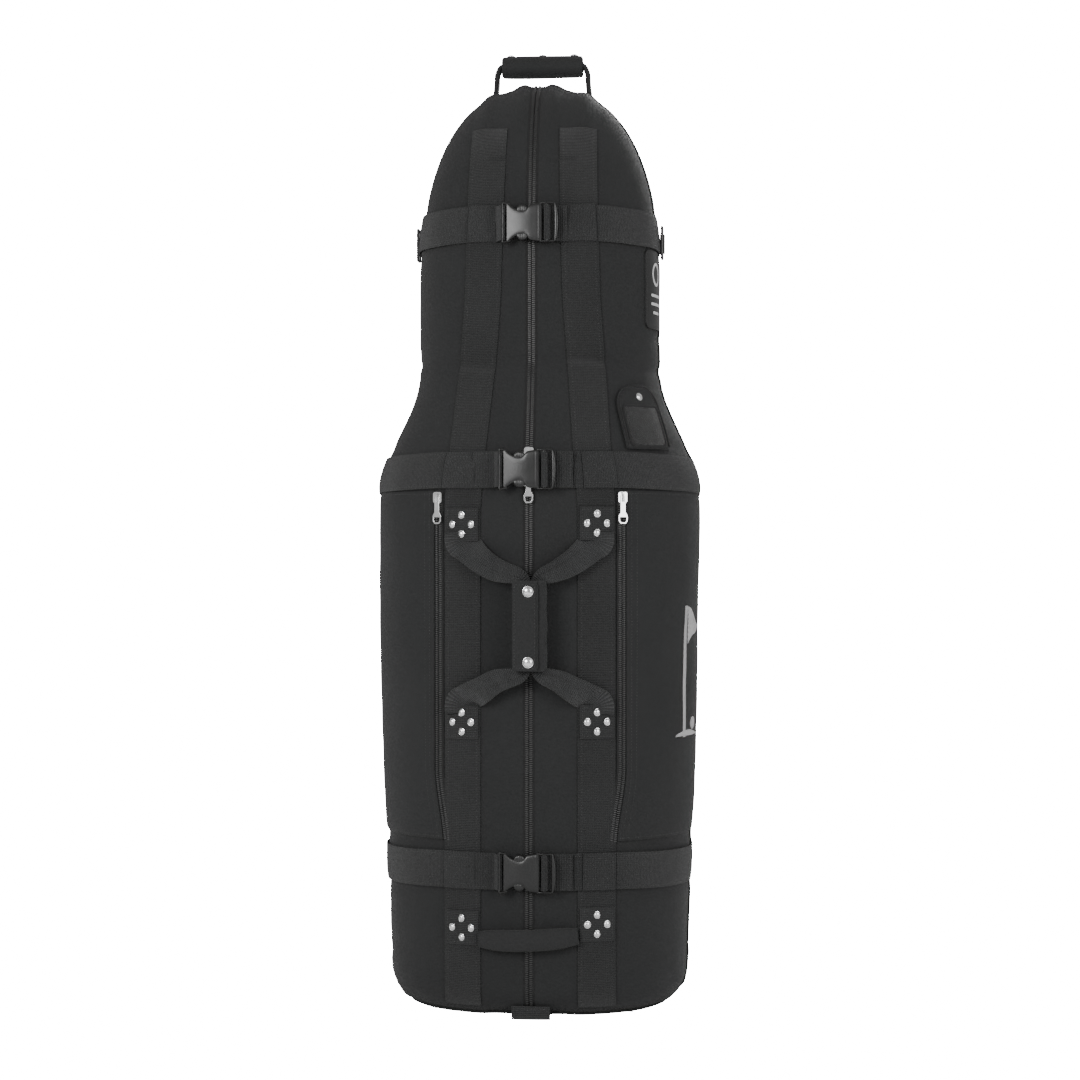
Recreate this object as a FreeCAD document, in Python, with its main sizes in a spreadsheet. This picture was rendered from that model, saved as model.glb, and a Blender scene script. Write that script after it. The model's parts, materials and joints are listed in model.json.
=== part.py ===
import FreeCAD, Part
import Sketcher
import math
import os

# Soft golf travel case that stands upright on a moulded base with two wheels.
# Frame: millimetres, +Z up, +X to the right of a person facing the zipper, the front faces -Y.
# The origin is on the floor, under the long axis of the case.

doc = FreeCAD.newDocument("golf_travel_case")
X_AXIS = FreeCAD.Vector(1, 0, 0)
Y_AXIS = FreeCAD.Vector(0, 1, 0)
Z_AXIS = FreeCAD.Vector(0, 0, 1)
nodes = []

# ---------------------------------------------------------------- driving dimensions
DRIVING = [
    ("section_power", 2.4), ("corner_power", 2.8), ("lower_half_width", 227), ("base_half_width", 211),
    ("upper_half_width", 170), ("lower_half_depth", 175), ("upper_half_depth", 135),
    ("base_flat_half_width", 141),
    ("corner_radius", 70), ("corner_top", 72), ("corner_height", 68), ("side_shoulder_low", 718),
    ("side_shoulder_high", 893), ("front_shoulder_low", 758), ("front_shoulder_high", 905),
    ("dome_base", 1010), ("dome_height", 292),
    ("wall_thickness", 4), ("liner_gap", 0.3), ("liner_thickness", 4), ("zipper_slit", 7),
    ("webbing_width", 50), ("webbing_thickness", 1.4), ("strap_low_offset", 2.0), ("strap_thickness", 1.6),
    ("top_strap_height", 1088.5), ("middle_strap_height", 749.5), ("bottom_strap_height", 205),
    ("buckle_height", 56), ("buckle_thickness", 11.6), ("buckle_standoff", 7.2),
    ("female_length", 54), ("female_left", -39), ("male_length", 22), ("male_left", 15.5),
    ("buckle_cavity_height", 44), ("buckle_cavity_thickness", 7.4), ("window_radius", 11),
    ("window_centre_x", -6), ("prong_thickness", 6), ("prong_length", 28),
    ("slider_width", 13), ("slider_height", 15), ("slider_thickness", 3.4), ("pull_thickness", 1.2),
    ("pull_width", 13), ("pocket_line_x", 125), ("patch_width", 46), ("patch_height", 46),
    ("patch_centre_x", 91), ("rivet_radius", 5), ("rivet_pitch", 13), ("rivet_height", 2.4),
    ("grip_width", 46), ("grip_length", 124), ("grip_depth", 18), ("grip_standoff", 18),
    ("grip_centre_x", 5), ("grip_base_height", 476.5), ("flap_width", 34), ("flap_thickness", 2),
    ("snap_radius", 7.5), ("snap_height", 3.2), ("carry_half_span", 67), ("carry_plane_y", 45),
    ("carry_pivot_height", 1295), ("carry_grip_length", 119), ("carry_grip_height", 32),
    ("carry_grip_depth", 24), ("carry_grip_low", 1326), ("carry_web_width", 22), ("carry_web_thickness", 8),
    ("ring_height", 48), ("ring_width", 26), ("ring_bar_radius", 2), ("ring_centre_height", 1078),
    ("base_thickness", 3.7), ("rail_height", 1.5), ("wheel_centre_x", 110), ("wheel_centre_y", 150),
    ("wheel_centre_z", 40), ("tyre_radius", 36), ("tyre_inner_radius", 25), ("wheel_width", 24),
    ("bearing_outer_radius", 11), ("bearing_bore_radius", 4), ("bearing_width", 7), ("axle_radius", 3.95),
    ("housing_half_width", 24), ("housing_wall", 8), ("housing_radius", 47), ("wheel_well_radius", 41),
    ("running_gap", 0.05), ("clear_gap", 0.3),
]
sheet = doc.addObject("Spreadsheet::Sheet", "dimensions")
for row, (alias, value) in enumerate(DRIVING, start=1):
    sheet.set("A%d" % row, alias)
    sheet.set("B%d" % row, str(value))
    sheet.setAlias("B%d" % row, alias)
doc.recompute()


def dim(alias):
    """Value of one driving dimension, in millimetres."""
    return float(getattr(sheet, alias))


def cell(expression):
    """Expression for setExpression with each driving dimension written as its sheet cell."""
    words = expression.replace("(", " ( ").replace(")", " ) ").split()
    aliases = {alias for alias, _ in DRIVING}
    return " ".join("dimensions." + word if word in aliases else word for word in words)


def bind(obj, **expressions):
    """Bind properties of an object to expressions of driving dimensions."""
    for name, expression in expressions.items():
        obj.setExpression(name.replace("__", "."), cell(expression))
    return obj


def keep(obj, label):
    """Name a finished sub-part; the label is its node name."""
    obj.Label = label
    nodes.append(obj)
    return obj


# ---------------------------------------------------------------- the case's outer surface
POWER = dim("section_power")
CORNER_POWER = dim("corner_power")
SECTION_POINTS = 48
TIP_SHARE = 0.995


def smooth(value):
    """Smooth step from 0 to 1."""
    value = min(max(value, 0.0), 1.0)
    return value * value * (3 - 2 * value)


def corner_share(z, offset):
    """Part of the bottom corner's radius that the section has reached at height z, a superellipse."""
    share = min((dim("corner_top") - z) / (dim("corner_height") + offset), 1.0)
    return (1 - share ** CORNER_POWER) ** (1 / CORNER_POWER)


def half_width(z, offset=0.0):
    """Half the case's width at height z, on the surface offset outwards."""
    if z < dim("corner_top"):
        return dim("base_flat_half_width") + (dim("corner_radius") + offset) * corner_share(z, offset)
    if z < dim("dome_base"):
        rise = (z - dim("corner_top")) / (dim("side_shoulder_low") - dim("corner_top"))
        barrel = dim("base_half_width") + (dim("lower_half_width") - dim("base_half_width")) * min(rise, 1.0)
        shoulder = (z - dim("side_shoulder_low")) / (dim("side_shoulder_high") - dim("side_shoulder_low"))
        return barrel + (dim("upper_half_width") - barrel) * smooth(shoulder) + offset
    return (dim("upper_half_width") + offset) * dome_share(z, offset)


def half_depth(z, offset=0.0):
    """Half the case's depth at height z, on the surface offset outwards."""
    if z < dim("corner_top"):
        flat = dim("lower_half_depth") - dim("corner_radius")
        return flat + (dim("corner_radius") + offset) * corner_share(z, offset)
    if z < dim("dome_base"):
        rise = (z - dim("front_shoulder_low")) / (dim("front_shoulder_high") - dim("front_shoulder_low"))
        rise = min(max(rise, 0.0), 1.0)
        return dim("lower_half_depth") + (dim("upper_half_depth") - dim("lower_half_depth")) * rise + offset
    return (dim("upper_half_depth") + offset) * dome_share(z, offset)


def dome_share(z, offset):
    """Part of the full section that is left at height z in the dome, a superellipse."""
    share = min((z - dim("dome_base")) / (dim("dome_height") + offset), 1.0)
    return (1 - share ** POWER) ** (1 / POWER)


def front_y(x, z, offset=0.0):
    """Y of the front surface at x and z."""
    across = min(abs(x) / half_width(z, offset), 1.0)
    return -half_depth(z, offset) * (1 - across ** POWER) ** (1 / POWER)


def outward(x, y, z):
    """Horizontal unit normal of the surface at a point of the section at height z."""
    across = math.copysign((abs(x) / half_width(z)) ** (POWER - 1) / half_width(z), x)
    deep = math.copysign((abs(y) / half_depth(z)) ** (POWER - 1) / half_depth(z), y)
    return FreeCAD.Vector(across, deep, 0).normalize()


def section(z, offset):
    """Closed superellipse wire at height z."""
    points = []
    for step in range(SECTION_POINTS):
        angle = 2 * math.pi * step / SECTION_POINTS + math.pi / 2
        cosine, sine = math.cos(angle), math.sin(angle)
        x = half_width(z, offset) * math.copysign(abs(cosine) ** (2 / POWER), cosine)
        y = half_depth(z, offset) * math.copysign(abs(sine) ** (2 / POWER), sine)
        points.append(FreeCAD.Vector(x, y, z))
    curve = Part.BSplineCurve()
    curve.interpolate(Points=points, PeriodicFlag=True)
    return Part.Wire(curve.toShape())


def stations(low, high, offset):
    """Heights of the loft's sections from low to high, closer together where the profile bends."""
    corner = [dim("corner_top") - (dim("corner_height") + offset) * share
              for share in (1, 0.97, 0.88, 0.72, 0.5, 0.25, 0)]
    span = dim("side_shoulder_high") - dim("side_shoulder_low")
    shoulder = [dim("side_shoulder_low") + span * share for share in (0, 0.2, 0.4, 0.6, 0.8, 1)]
    kinks = [dim("front_shoulder_low"), dim("front_shoulder_high"), dim("dome_base")]
    dome = [dim("dome_base") + (dim("dome_height") + offset) * share
            for share in (0.2, 0.35, 0.5, 0.63, 0.74, 0.83, 0.9, 0.95, 0.98, TIP_SHARE)]
    inside = [z for z in corner + shoulder + kinks + dome if low + 0.5 < z < high - 0.5]
    return sorted([low, high] + inside)


def loft(low, high, offset):
    """Solid inside the offset surface from height low to height high."""
    return Part.makeLoft([section(z, offset) for z in stations(low, high, offset)], True, True)


def whole(offset):
    """Solid inside the whole offset surface, from the flat base to the top of the dome."""
    low = dim("corner_top") - (dim("corner_height") + offset)
    high = dim("dome_base") + (dim("dome_height") + offset) * TIP_SHARE
    return loft(low, high, offset)


def layer(low, high, inner, outer):
    """Ring of cloth between two offset surfaces, from height low to height high."""
    return loft(low, high, outer).cut(loft(low - 1, high + 1, inner))


def prism(outline, depth_from, depth_to):
    """Solid of a front-view outline of (x, z) points, from one y to another."""
    points = [FreeCAD.Vector(x, depth_from, z) for x, z in outline]
    face = Part.Face(Part.makePolygon(points + points[:1]))
    return face.extrude(FreeCAD.Vector(0, depth_to - depth_from, 0))


def box(x_low, x_high, y_low, y_high, z_low, z_high):
    """Box between two corners."""
    corner = FreeCAD.Vector(x_low, y_low, z_low)
    return Part.makeBox(x_high - x_low, y_high - y_low, z_high - z_low, corner)


def solid_group(shapes):
    """Several separate solids in one shape."""
    solids = [solid for shape in shapes for solid in shape.Solids]
    return solids[0] if len(solids) == 1 else Part.makeCompound(solids)


def cloth(label, shapes):
    """Sub-part whose shape comes straight from Part's own functions."""
    feature = doc.addObject("Part::Feature", label)
    feature.Shape = solid_group(shapes)
    return keep(feature, label)


# ---------------------------------------------------------------- fabric shell and liner
WALL = dim("wall_thickness")
SLIT = dim("zipper_slit")
WHEEL_X, WHEEL_Y, WHEEL_Z = dim("wheel_centre_x"), dim("wheel_centre_y"), dim("wheel_centre_z")
CLEAR = dim("clear_gap")
TALL = 1400
WIDE = 400


def wheel_rooms():
    """Space that the wheel housings and the axle ends take out of the soft walls, one per side."""
    reach = dim("housing_half_width") + CLEAR
    radius = dim("housing_radius") + CLEAR
    axle_room = 9
    axle_reach = reach + 8
    rooms = []
    for side in (-1, 1):
        start = FreeCAD.Vector(side * WHEEL_X - reach, WHEEL_Y, WHEEL_Z)
        barrel = Part.makeCylinder(radius, 2 * reach, start, X_AXIS)
        foot = box(side * WHEEL_X - reach, side * WHEEL_X + reach,
                   WHEEL_Y - radius, WHEEL_Y + radius, -10, WHEEL_Z)
        end = FreeCAD.Vector(side * WHEEL_X - axle_reach, WHEEL_Y, WHEEL_Z)
        rooms += [barrel, foot, Part.makeCylinder(axle_room, 2 * axle_reach, end, X_AXIS)]
    return rooms


rooms = wheel_rooms()
shell = whole(0).cut(whole(-WALL)).cut(rooms)
front_half = {
    "front_panel_left": box(-WIDE, -SLIT, -WIDE, 0, -10, TALL),
    "front_panel_right": box(SLIT, WIDE, -WIDE, 0, -10, TALL),
}
for label, region in front_half.items():
    cloth(label, [shell.common(region)])
cloth("back_panel", [shell.common(box(-WIDE, WIDE, CLEAR, WIDE, -10, TALL))])

liner_outer = -WALL - dim("liner_gap")
liner_inner = liner_outer - dim("liner_thickness")
liner_cuts = rooms + [box(-SLIT - 2, SLIT + 2, -WIDE, 0, -10, TALL)]
cloth("foam_liner", [whole(liner_outer).cut(whole(liner_inner)).cut(liner_cuts)])

# ---------------------------------------------------------------- zippers
POCKET_TOP = 721
POCKET_LOW = 245
POCKET_BEND = 330
POCKET_TURN = 12
LINE_X = dim("pocket_line_x")


def pocket_strip(side, inner, outer):
    """Outline along a pocket's zipper between two distances from its centre line."""
    return [(side * (LINE_X + inner), POCKET_TOP), (side * (LINE_X + outer), POCKET_TOP),
            (side * (LINE_X + outer), POCKET_BEND), (side * (LINE_X + outer - POCKET_TURN), POCKET_LOW),
            (side * (LINE_X + inner - POCKET_TURN), POCKET_LOW), (side * (LINE_X + inner), POCKET_BEND)]


ZIP_LOW = 40
ZIP_HIGH = 1290
main_coil = layer(ZIP_LOW, ZIP_HIGH, -3, CLEAR).common(box(-3, 3, -WIDE, 0, 0, TALL))
main_band = layer(ZIP_LOW, ZIP_HIGH, -1.6, -0.6)
main_tapes = [main_band.common(box(x, x + 3.4, -WIDE, 0, 0, TALL)) for x in (-6.7, 3.3)]
pocket_band = layer(POCKET_LOW, POCKET_TOP, CLEAR, 1.5)
pocket_coils = []
pocket_tapes = []
pocket_skins = {}
for side, name in ((-1, "left"), (1, "right")):
    pocket_coils.append(pocket_band.common(prism(pocket_strip(side, -2.5, 2.5), -WIDE, 0)))
    pocket_tapes.append(pocket_band.common(prism(pocket_strip(side, -7.5, -2.8), -WIDE, 0)))
    pocket_tapes.append(pocket_band.common(prism(pocket_strip(side, 2.8, 5), -WIDE, 0)))
    skin = layer(POCKET_LOW, POCKET_TOP, CLEAR, 1.7)
    front_part = skin.common(prism(pocket_strip(side, 5.3, WIDE), -WIDE, 0))
    side_x = sorted((0, side * WIDE))
    back_part = skin.common(box(side_x[0], side_x[1], 0, 110, 0, TALL))
    pocket_skins[name] = front_part.fuse(back_part)
cloth("zipper_coils", [main_coil] + pocket_coils)
cloth("zipper_tapes", main_tapes + pocket_tapes)
for name, skin in pocket_skins.items():
    cloth("pocket_skin_" + name, [skin])

# ---------------------------------------------------------------- webbing and straps
WEB_HALF = dim("webbing_width") / 2
STRAP_LOW = dim("strap_low_offset")
STRAP_TOP = STRAP_LOW + dim("strap_thickness")
WEB_LINE = [(26, 91), (700, 91), (805, 82), (980, 68), (1225, 61)]
web_ring = layer(WEB_LINE[0][0], WEB_LINE[-1][0], CLEAR, CLEAR + dim("webbing_thickness"))
webbings = []
for side in (-1, 1):
    outer_edge = [(side * (x + WEB_HALF), z) for z, x in WEB_LINE]
    inner_edge = [(side * (x - WEB_HALF), z) for z, x in reversed(WEB_LINE)]
    zipper_room = prism(pocket_strip(side, -7.8, 10), -WIDE, 0)
    webbings.append(web_ring.common(prism(outer_edge + inner_edge, -WIDE, 0)).cut(zipper_room))
cloth("vertical_webbings", webbings)

BUCKLE_LEFT = dim("female_left")
MALE_RIGHT = dim("male_left") + dim("male_length")
RING_Z = dim("ring_centre_height")
RING_SURFACE = half_width(RING_Z - dim("ring_height") / 2) + STRAP_TOP + CLEAR
RING_X = RING_SURFACE + dim("ring_bar_radius")
RING_HINGE_Y = dim("ring_width") / 2 - dim("ring_bar_radius")


def strap_ring(height):
    """Strap sewn round the case, open at the front where its buckle sits."""
    ring = layer(height - WEB_HALF, height + WEB_HALF, STRAP_LOW, STRAP_TOP)
    return ring.cut(box(BUCKLE_LEFT - 1, MALE_RIGHT + 4, -WIDE, 0, 0, TALL))


def ring_loop(side):
    """Short webbing loop that holds a side ring by its rear bar."""
    wall = 1.9
    half_tall = 14
    x_range = sorted((side * RING_SURFACE, side * (RING_SURFACE + 2 * dim("ring_bar_radius") + wall)))
    front = RING_HINGE_Y - dim("ring_bar_radius") - 1.4
    block = box(x_range[0], x_range[1], front, RING_HINGE_Y + 14, RING_Z - half_tall, RING_Z + half_tall)
    hole = Part.makeCylinder(dim("ring_bar_radius") + CLEAR, 4 * half_tall,
                             FreeCAD.Vector(side * RING_X, RING_HINGE_Y, RING_Z - 2 * half_tall), Z_AXIS)
    return block.cut(hole)


STRAPS = (("top", dim("top_strap_height")), ("middle", dim("middle_strap_height")),
          ("bottom", dim("bottom_strap_height")))
for name, height in STRAPS:
    loops = [ring_loop(-1), ring_loop(1)] if name == "top" else []
    cloth(name + "_strap", [strap_ring(height)] + loops)

# ---------------------------------------------------------------- sketch helpers


def new_body(label):
    """PartDesign body for one moulded or machined piece."""
    return doc.addObject("PartDesign::Body", label + "_body")


def plane_of(body, role):
    """One of the body's own origin planes."""
    return [item for item in body.Origin.OriginFeatures if item.Role == role][0]


def new_sketch(body, role, name):
    """Sketch on one of the body's own origin planes."""
    sketch = body.newObject("Sketcher::SketchObject", name)
    sketch.AttachmentSupport = [(plane_of(body, role), "")]
    sketch.MapMode = "FlatFace"
    return sketch


def draw_loop(sketch, points):
    """Closed polyline of (x, y) points."""
    start = sketch.GeometryCount
    for index, (x, y) in enumerate(points):
        next_x, next_y = points[(index + 1) % len(points)]
        sketch.addGeometry(Part.LineSegment(FreeCAD.Vector(x, y, 0), FreeCAD.Vector(next_x, next_y, 0)))
    for index in range(len(points)):
        following = start + (index + 1) % len(points)
        sketch.addConstraint(Sketcher.Constraint("Coincident", start + index, 2, following, 1))
    return start


def draw_rectangle(sketch, width, height, x_low, y_low):
    """Rectangle from its low corner, its four measures bound to the sheet."""
    start = draw_loop(sketch, [(0, 0), (10, 0), (10, 10), (0, 10)])
    for edge, kind in ((0, "Horizontal"), (1, "Vertical"), (2, "Horizontal"), (3, "Vertical")):
        sketch.addConstraint(Sketcher.Constraint(kind, start + edge))
    measures = (("DistanceX", (start, 1, start, 2), width), ("DistanceY", (start + 1, 1, start + 1, 2), height),
                ("DistanceX", (-1, 1, start, 1), x_low), ("DistanceY", (-1, 1, start, 1), y_low))
    for number, (kind, ends, expression) in enumerate(measures):
        added = sketch.addConstraint(Sketcher.Constraint(kind, *ends, 1.0))
        sketch.setExpression("Constraints[%d]" % added, cell(expression))


def draw_circle(sketch, radius, x, y):
    """Circle whose radius and centre are bound to the sheet."""
    index = sketch.addGeometry(Part.Circle(FreeCAD.Vector(1, 1, 0), Z_AXIS, 5))
    for kind, ends, expression in (("DistanceX", (-1, 1, index, 3), x), ("DistanceY", (-1, 1, index, 3), y)):
        added = sketch.addConstraint(Sketcher.Constraint(kind, *ends, 1.0))
        sketch.setExpression("Constraints[%d]" % added, cell(expression))
    added = sketch.addConstraint(Sketcher.Constraint("Radius", index, 5))
    sketch.setExpression("Constraints[%d]" % added, cell(radius))


def pad(body, sketch, length):
    """Pad a sketch evenly to both sides of its plane."""
    feature = body.newObject("PartDesign::Pad", sketch.Name + "_pad")
    feature.Profile = sketch
    feature.Midplane = True
    feature.setExpression("Length", cell(length))
    return feature


def pocket(body, sketch, length):
    """Cut a sketch through evenly to both sides of its plane."""
    feature = body.newObject("PartDesign::Pocket", sketch.Name + "_pocket")
    feature.Profile = sketch
    feature.Midplane = True
    feature.setExpression("Length", cell(length))
    return feature


def revolve(body, sketch):
    """Turn a sketch in the XZ plane a full circle about the body's X axis."""
    feature = body.newObject("PartDesign::Revolution", sketch.Name + "_turn")
    feature.Profile = sketch
    feature.ReferenceAxis = ([item for item in body.Origin.OriginFeatures if item.Role == "X_Axis"][0], [""])
    feature.Angle = 360
    return feature


def place(obj, x, y, z, turn_about_z=0.0, tilt_about_x=0.0):
    """Put a piece at a point, turned about the vertical and then tilted back."""
    turn = FreeCAD.Rotation(Z_AXIS, turn_about_z).multiply(FreeCAD.Rotation(X_AXIS, tilt_about_x))
    obj.Placement = FreeCAD.Placement(FreeCAD.Vector(x, y, z), turn)
    return obj


# ---------------------------------------------------------------- side-release buckles
BUCKLE_Y_OFFSET = dim("buckle_standoff") + dim("buckle_thickness") / 2


def female_half(name):
    """Buckle socket: webbing bar at the left, two thumb windows, mouth at the right."""
    body = new_body(name)
    outline = new_sketch(body, "XZ_Plane", name + "_outline")
    draw_rectangle(outline, "female_length", "buckle_height", "female_left", "-0.5 * buckle_height")
    pad(body, outline, "buckle_thickness")
    slot = new_sketch(body, "XZ_Plane", name + "_slot")
    draw_rectangle(slot, "5", "webbing_width + 1", "female_left + 4", "-0.5 * ( webbing_width + 1 )")
    pocket(body, slot, "buckle_thickness + 4")
    windows = new_sketch(body, "XZ_Plane", name + "_windows")
    for sign in ("", "-"):
        draw_circle(windows, "window_radius", "window_centre_x", sign + "( 0.5 * buckle_height + 2 )")
    pocket(body, windows, "buckle_thickness + 4")
    cavity = new_sketch(body, "XZ_Plane", name + "_cavity")
    draw_rectangle(cavity, "female_length - 19", "buckle_cavity_height", "female_left + 19 + 0.01",
                   "-0.5 * buckle_cavity_height")
    pocket(body, cavity, "buckle_cavity_thickness")
    return body


def male_half(name):
    """Buckle plug: centre tongue, shoulder plate and a ladder bar for the webbing."""
    body = new_body(name)
    outline = new_sketch(body, "XZ_Plane", name + "_outline")
    draw_rectangle(outline, "male_length", "buckle_height - 2", "male_left", "1 - 0.5 * buckle_height")
    pad(body, outline, "buckle_thickness - 1.6")
    for number, start in enumerate(("male_left + 4", "male_left + 12.5")):
        slot = new_sketch(body, "XZ_Plane", name + "_slot%d" % number)
        draw_rectangle(slot, "5", "webbing_width + 1", start, "-0.5 * ( webbing_width + 1 )")
        pocket(body, slot, "buckle_thickness + 4")
    tongue = new_sketch(body, "XZ_Plane", name + "_tongue")
    draw_rectangle(tongue, "31", "8", "male_left - 30", "-4")
    pad(body, tongue, "4")
    return body


def prong(name, side):
    """Sprung arm with a barb that shows in a thumb window; side is 1 above and -1 below."""
    body = new_body(name)
    arm = new_sketch(body, "XZ_Plane", name + "_arm")
    low = "12" if side > 0 else "-16.5"
    draw_rectangle(arm, "prong_length", "4.5", "male_left - 0.3 - prong_length", low)
    pad(body, arm, "prong_thickness")
    barb = new_sketch(body, "XZ_Plane", name + "_barb")
    root = -12.8
    outer = [(root, 12.5), (root, 18), (root + 3, 21.5), (root + 10, 22.5), (root + 14, 21), (root + 14, 12.5)]
    points = outer if side > 0 else [(x, -z) for x, z in reversed(outer)]
    draw_loop(barb, points)
    pad(body, barb, "prong_thickness")
    return body


for name, height in STRAPS:
    buckle_y = -half_depth(height) - BUCKLE_Y_OFFSET
    for label, maker in (("_buckle_female", female_half), ("_buckle_male", male_half)):
        keep(place(maker(name + label), 0, buckle_y, height), name + label)
    for side, end in ((1, "upper"), (-1, "lower")):
        label = "%s_prong_%s" % (name, end)
        keep(place(prong(label, side), 0, buckle_y, height), label)
    tail_length = 12 if name == "top" else 26
    tail_front = buckle_y - 2
    tail = box(MALE_RIGHT + CLEAR, MALE_RIGHT + tail_length, tail_front, tail_front + 2,
               height - WEB_HALF, height + WEB_HALF)
    cloth(name + "_strap_tail", [tail])

# ---------------------------------------------------------------- zipper sliders and pulls
SLIDER_BASE = 0.6
POCKET_SLIDER_BASE = 1.9
SLIDER_HALF = dim("slider_height") / 2
PIVOT_RISE = 2.0
BRIDGE_GAP = 1.8
INCLINE = math.degrees(math.atan2(dim("lower_half_depth") - dim("upper_half_depth"),
                                  dim("front_shoulder_high") - dim("front_shoulder_low")))


def slider(name):
    """Slider body on the coil with an arched bridge; its local -Y points away from the cloth."""
    base = doc.addObject("Part::Box", name + "_plate")
    bind(base, Length="slider_width", Width="slider_thickness", Height="slider_height")
    bind(base, Placement__Base__x="-0.5 * slider_width", Placement__Base__y="-1 * slider_thickness",
         Placement__Base__z="-0.5 * slider_height")
    rounded = doc.addObject("Part::Fillet", name + "_rounded")
    rounded.Base = base
    doc.recompute()
    upright = [number for number, edge in enumerate(base.Shape.Edges, start=1)
               if abs(edge.Vertexes[0].Y - edge.Vertexes[-1].Y) > 1]
    rounded.Edges = [(number, 3.0, 3.0) for number in upright]
    bridge = doc.addObject("Part::Box", name + "_bridge")
    bridge.Length, bridge.Width, bridge.Height = 3, 2.8, 12.5
    bridge.Placement.Base = FreeCAD.Vector(-1.5, -dim("slider_thickness") - 2.7, -5.5)
    gap = doc.addObject("Part::Box", name + "_gap")
    gap.Length, gap.Width, gap.Height = 5, BRIDGE_GAP, 7
    gap.Placement.Base = FreeCAD.Vector(-2.5, -dim("slider_thickness") - BRIDGE_GAP, -1.5)
    arch = doc.addObject("Part::Cut", name + "_arch")
    arch.Base, arch.Tool = bridge, gap
    whole_slider = doc.addObject("Part::Fuse", name)
    whole_slider.Base, whole_slider.Tool = rounded, arch
    return whole_slider


def pull(name, length):
    """Pull tab hung on the bridge: an eye at the top, a window near its rounded end."""
    body = new_body(name)
    outline = new_sketch(body, "XZ_Plane", name + "_outline")
    half = dim("pull_width") / 2
    narrow = 3.6
    draw_loop(outline, [(-narrow, 0.6), (narrow, 0.6), (narrow, -length + 16), (half, -length + 11),
                        (half, -length + 4), (half - 3, -length), (3 - half, -length), (-half, -length + 4),
                        (-half, -length + 11), (-narrow, -length + 16)])
    pad(body, outline, "pull_thickness")
    eye = new_sketch(body, "XZ_Plane", name + "_eye")
    draw_loop(eye, [(-1.9, -0.6), (1.9, -0.6), (1.9, -8), (-1.9, -8)])
    pocket(body, eye, "pull_thickness + 2")
    window = new_sketch(body, "XZ_Plane", name + "_window")
    inner = half - 2
    draw_loop(window, [(-inner, -length + 9), (inner, -length + 9), (inner, -length + 4.5),
                       (inner - 1.8, -length + 2), (1.8 - inner, -length + 2), (-inner, -length + 4.5)])
    pocket(body, window, "pull_thickness + 2")
    return body


def zipper_pair(name, x, z, base, pull_length, tilt=0.0):
    """One slider and its pull, on the front surface at (x, z)."""
    y = front_y(x, z)
    normal = outward(x, y, z)
    turn = math.degrees(math.atan2(normal.x, -normal.y))
    lean = FreeCAD.Rotation(Z_AXIS, turn).multiply(FreeCAD.Rotation(X_AXIS, -tilt))
    seat = FreeCAD.Vector(x, y, z) + lean.multVec(FreeCAD.Vector(0, -base, 0))
    body = keep(slider(name + "_slider"), name + "_slider")
    body.Placement = FreeCAD.Placement(seat, lean)
    pivot = seat + lean.multVec(FreeCAD.Vector(0, -dim("slider_thickness") - BRIDGE_GAP / 2, PIVOT_RISE))
    tab = keep(pull(name + "_pull", pull_length), name + "_pull")
    tab.Placement = FreeCAD.Placement(pivot, lean)
    print("PIVOT %s %.3f %.3f %.3f turn %.3f" % (name, pivot.x, pivot.y, pivot.z, turn))


zipper_pair("main_lower", 0, 734, SLIDER_BASE, 32)
zipper_pair("main_upper", 0, 771.5, SLIDER_BASE, 18, tilt=INCLINE)
zipper_pair("pocket_left", -LINE_X, 712, POCKET_SLIDER_BASE, 38)
zipper_pair("pocket_right", LINE_X, 712, POCKET_SLIDER_BASE, 38)

# ---------------------------------------------------------------- handle patches and rivets
PATCH_ROWS = (130, 407, 676)
PATCH_X = dim("patch_centre_x")


def rivet(x, y, z, normal, radius, height):
    """Domed rivet head or snap cap that stands on a surface point."""
    edge_height = 0.6
    rise = height - edge_height
    sphere = (radius ** 2 + rise ** 2) / (2 * rise)
    half_angle = math.asin(radius / sphere) / 2
    profile = [FreeCAD.Vector(0, 0, 0), FreeCAD.Vector(radius, 0, 0), FreeCAD.Vector(radius, 0, edge_height)]
    rim = Part.makePolygon(profile)
    middle = FreeCAD.Vector(sphere * math.sin(half_angle), 0, height - sphere * (1 - math.cos(half_angle)))
    crown = Part.Arc(profile[-1], middle, FreeCAD.Vector(0, 0, height))
    axis_line = Part.makeLine(FreeCAD.Vector(0, 0, height), FreeCAD.Vector(0, 0, 0))
    face = Part.Face(Part.Wire(rim.Edges + [crown.toShape(), axis_line]))
    head = face.revolve(FreeCAD.Vector(0, 0, 0), Z_AXIS, 360)
    head.Placement = FreeCAD.Placement(FreeCAD.Vector(x, y, z), FreeCAD.Rotation(Z_AXIS, normal))
    return head


patches = []
rivets = []
for z in PATCH_ROWS:
    half_height = dim("patch_height") / 2
    band = layer(z - half_height, z + half_height, STRAP_LOW, STRAP_TOP)
    for side in (-1, 1):
        x_range = sorted((side * (PATCH_X - dim("patch_width") / 2), side * (PATCH_X + dim("patch_width") / 2)))
        patches.append(band.common(box(x_range[0], x_range[1], -WIDE, 0, 0, TALL)))
        for step_x, step_z in ((1, 0), (-1, 0), (0, 1), (0, -1)):
            x = side * PATCH_X + step_x * dim("rivet_pitch")
            rivet_z = z + step_z * dim("rivet_pitch")
            normal = outward(x, front_y(x, rivet_z), rivet_z)
            seat = FreeCAD.Vector(x, front_y(x, rivet_z), rivet_z) + normal * (STRAP_TOP + 0.15)
            rivets.append(rivet(seat.x, seat.y, seat.z, normal, dim("rivet_radius"), dim("rivet_height")))
cloth("handle_patches", patches)
cloth("patch_rivets", rivets)

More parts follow.
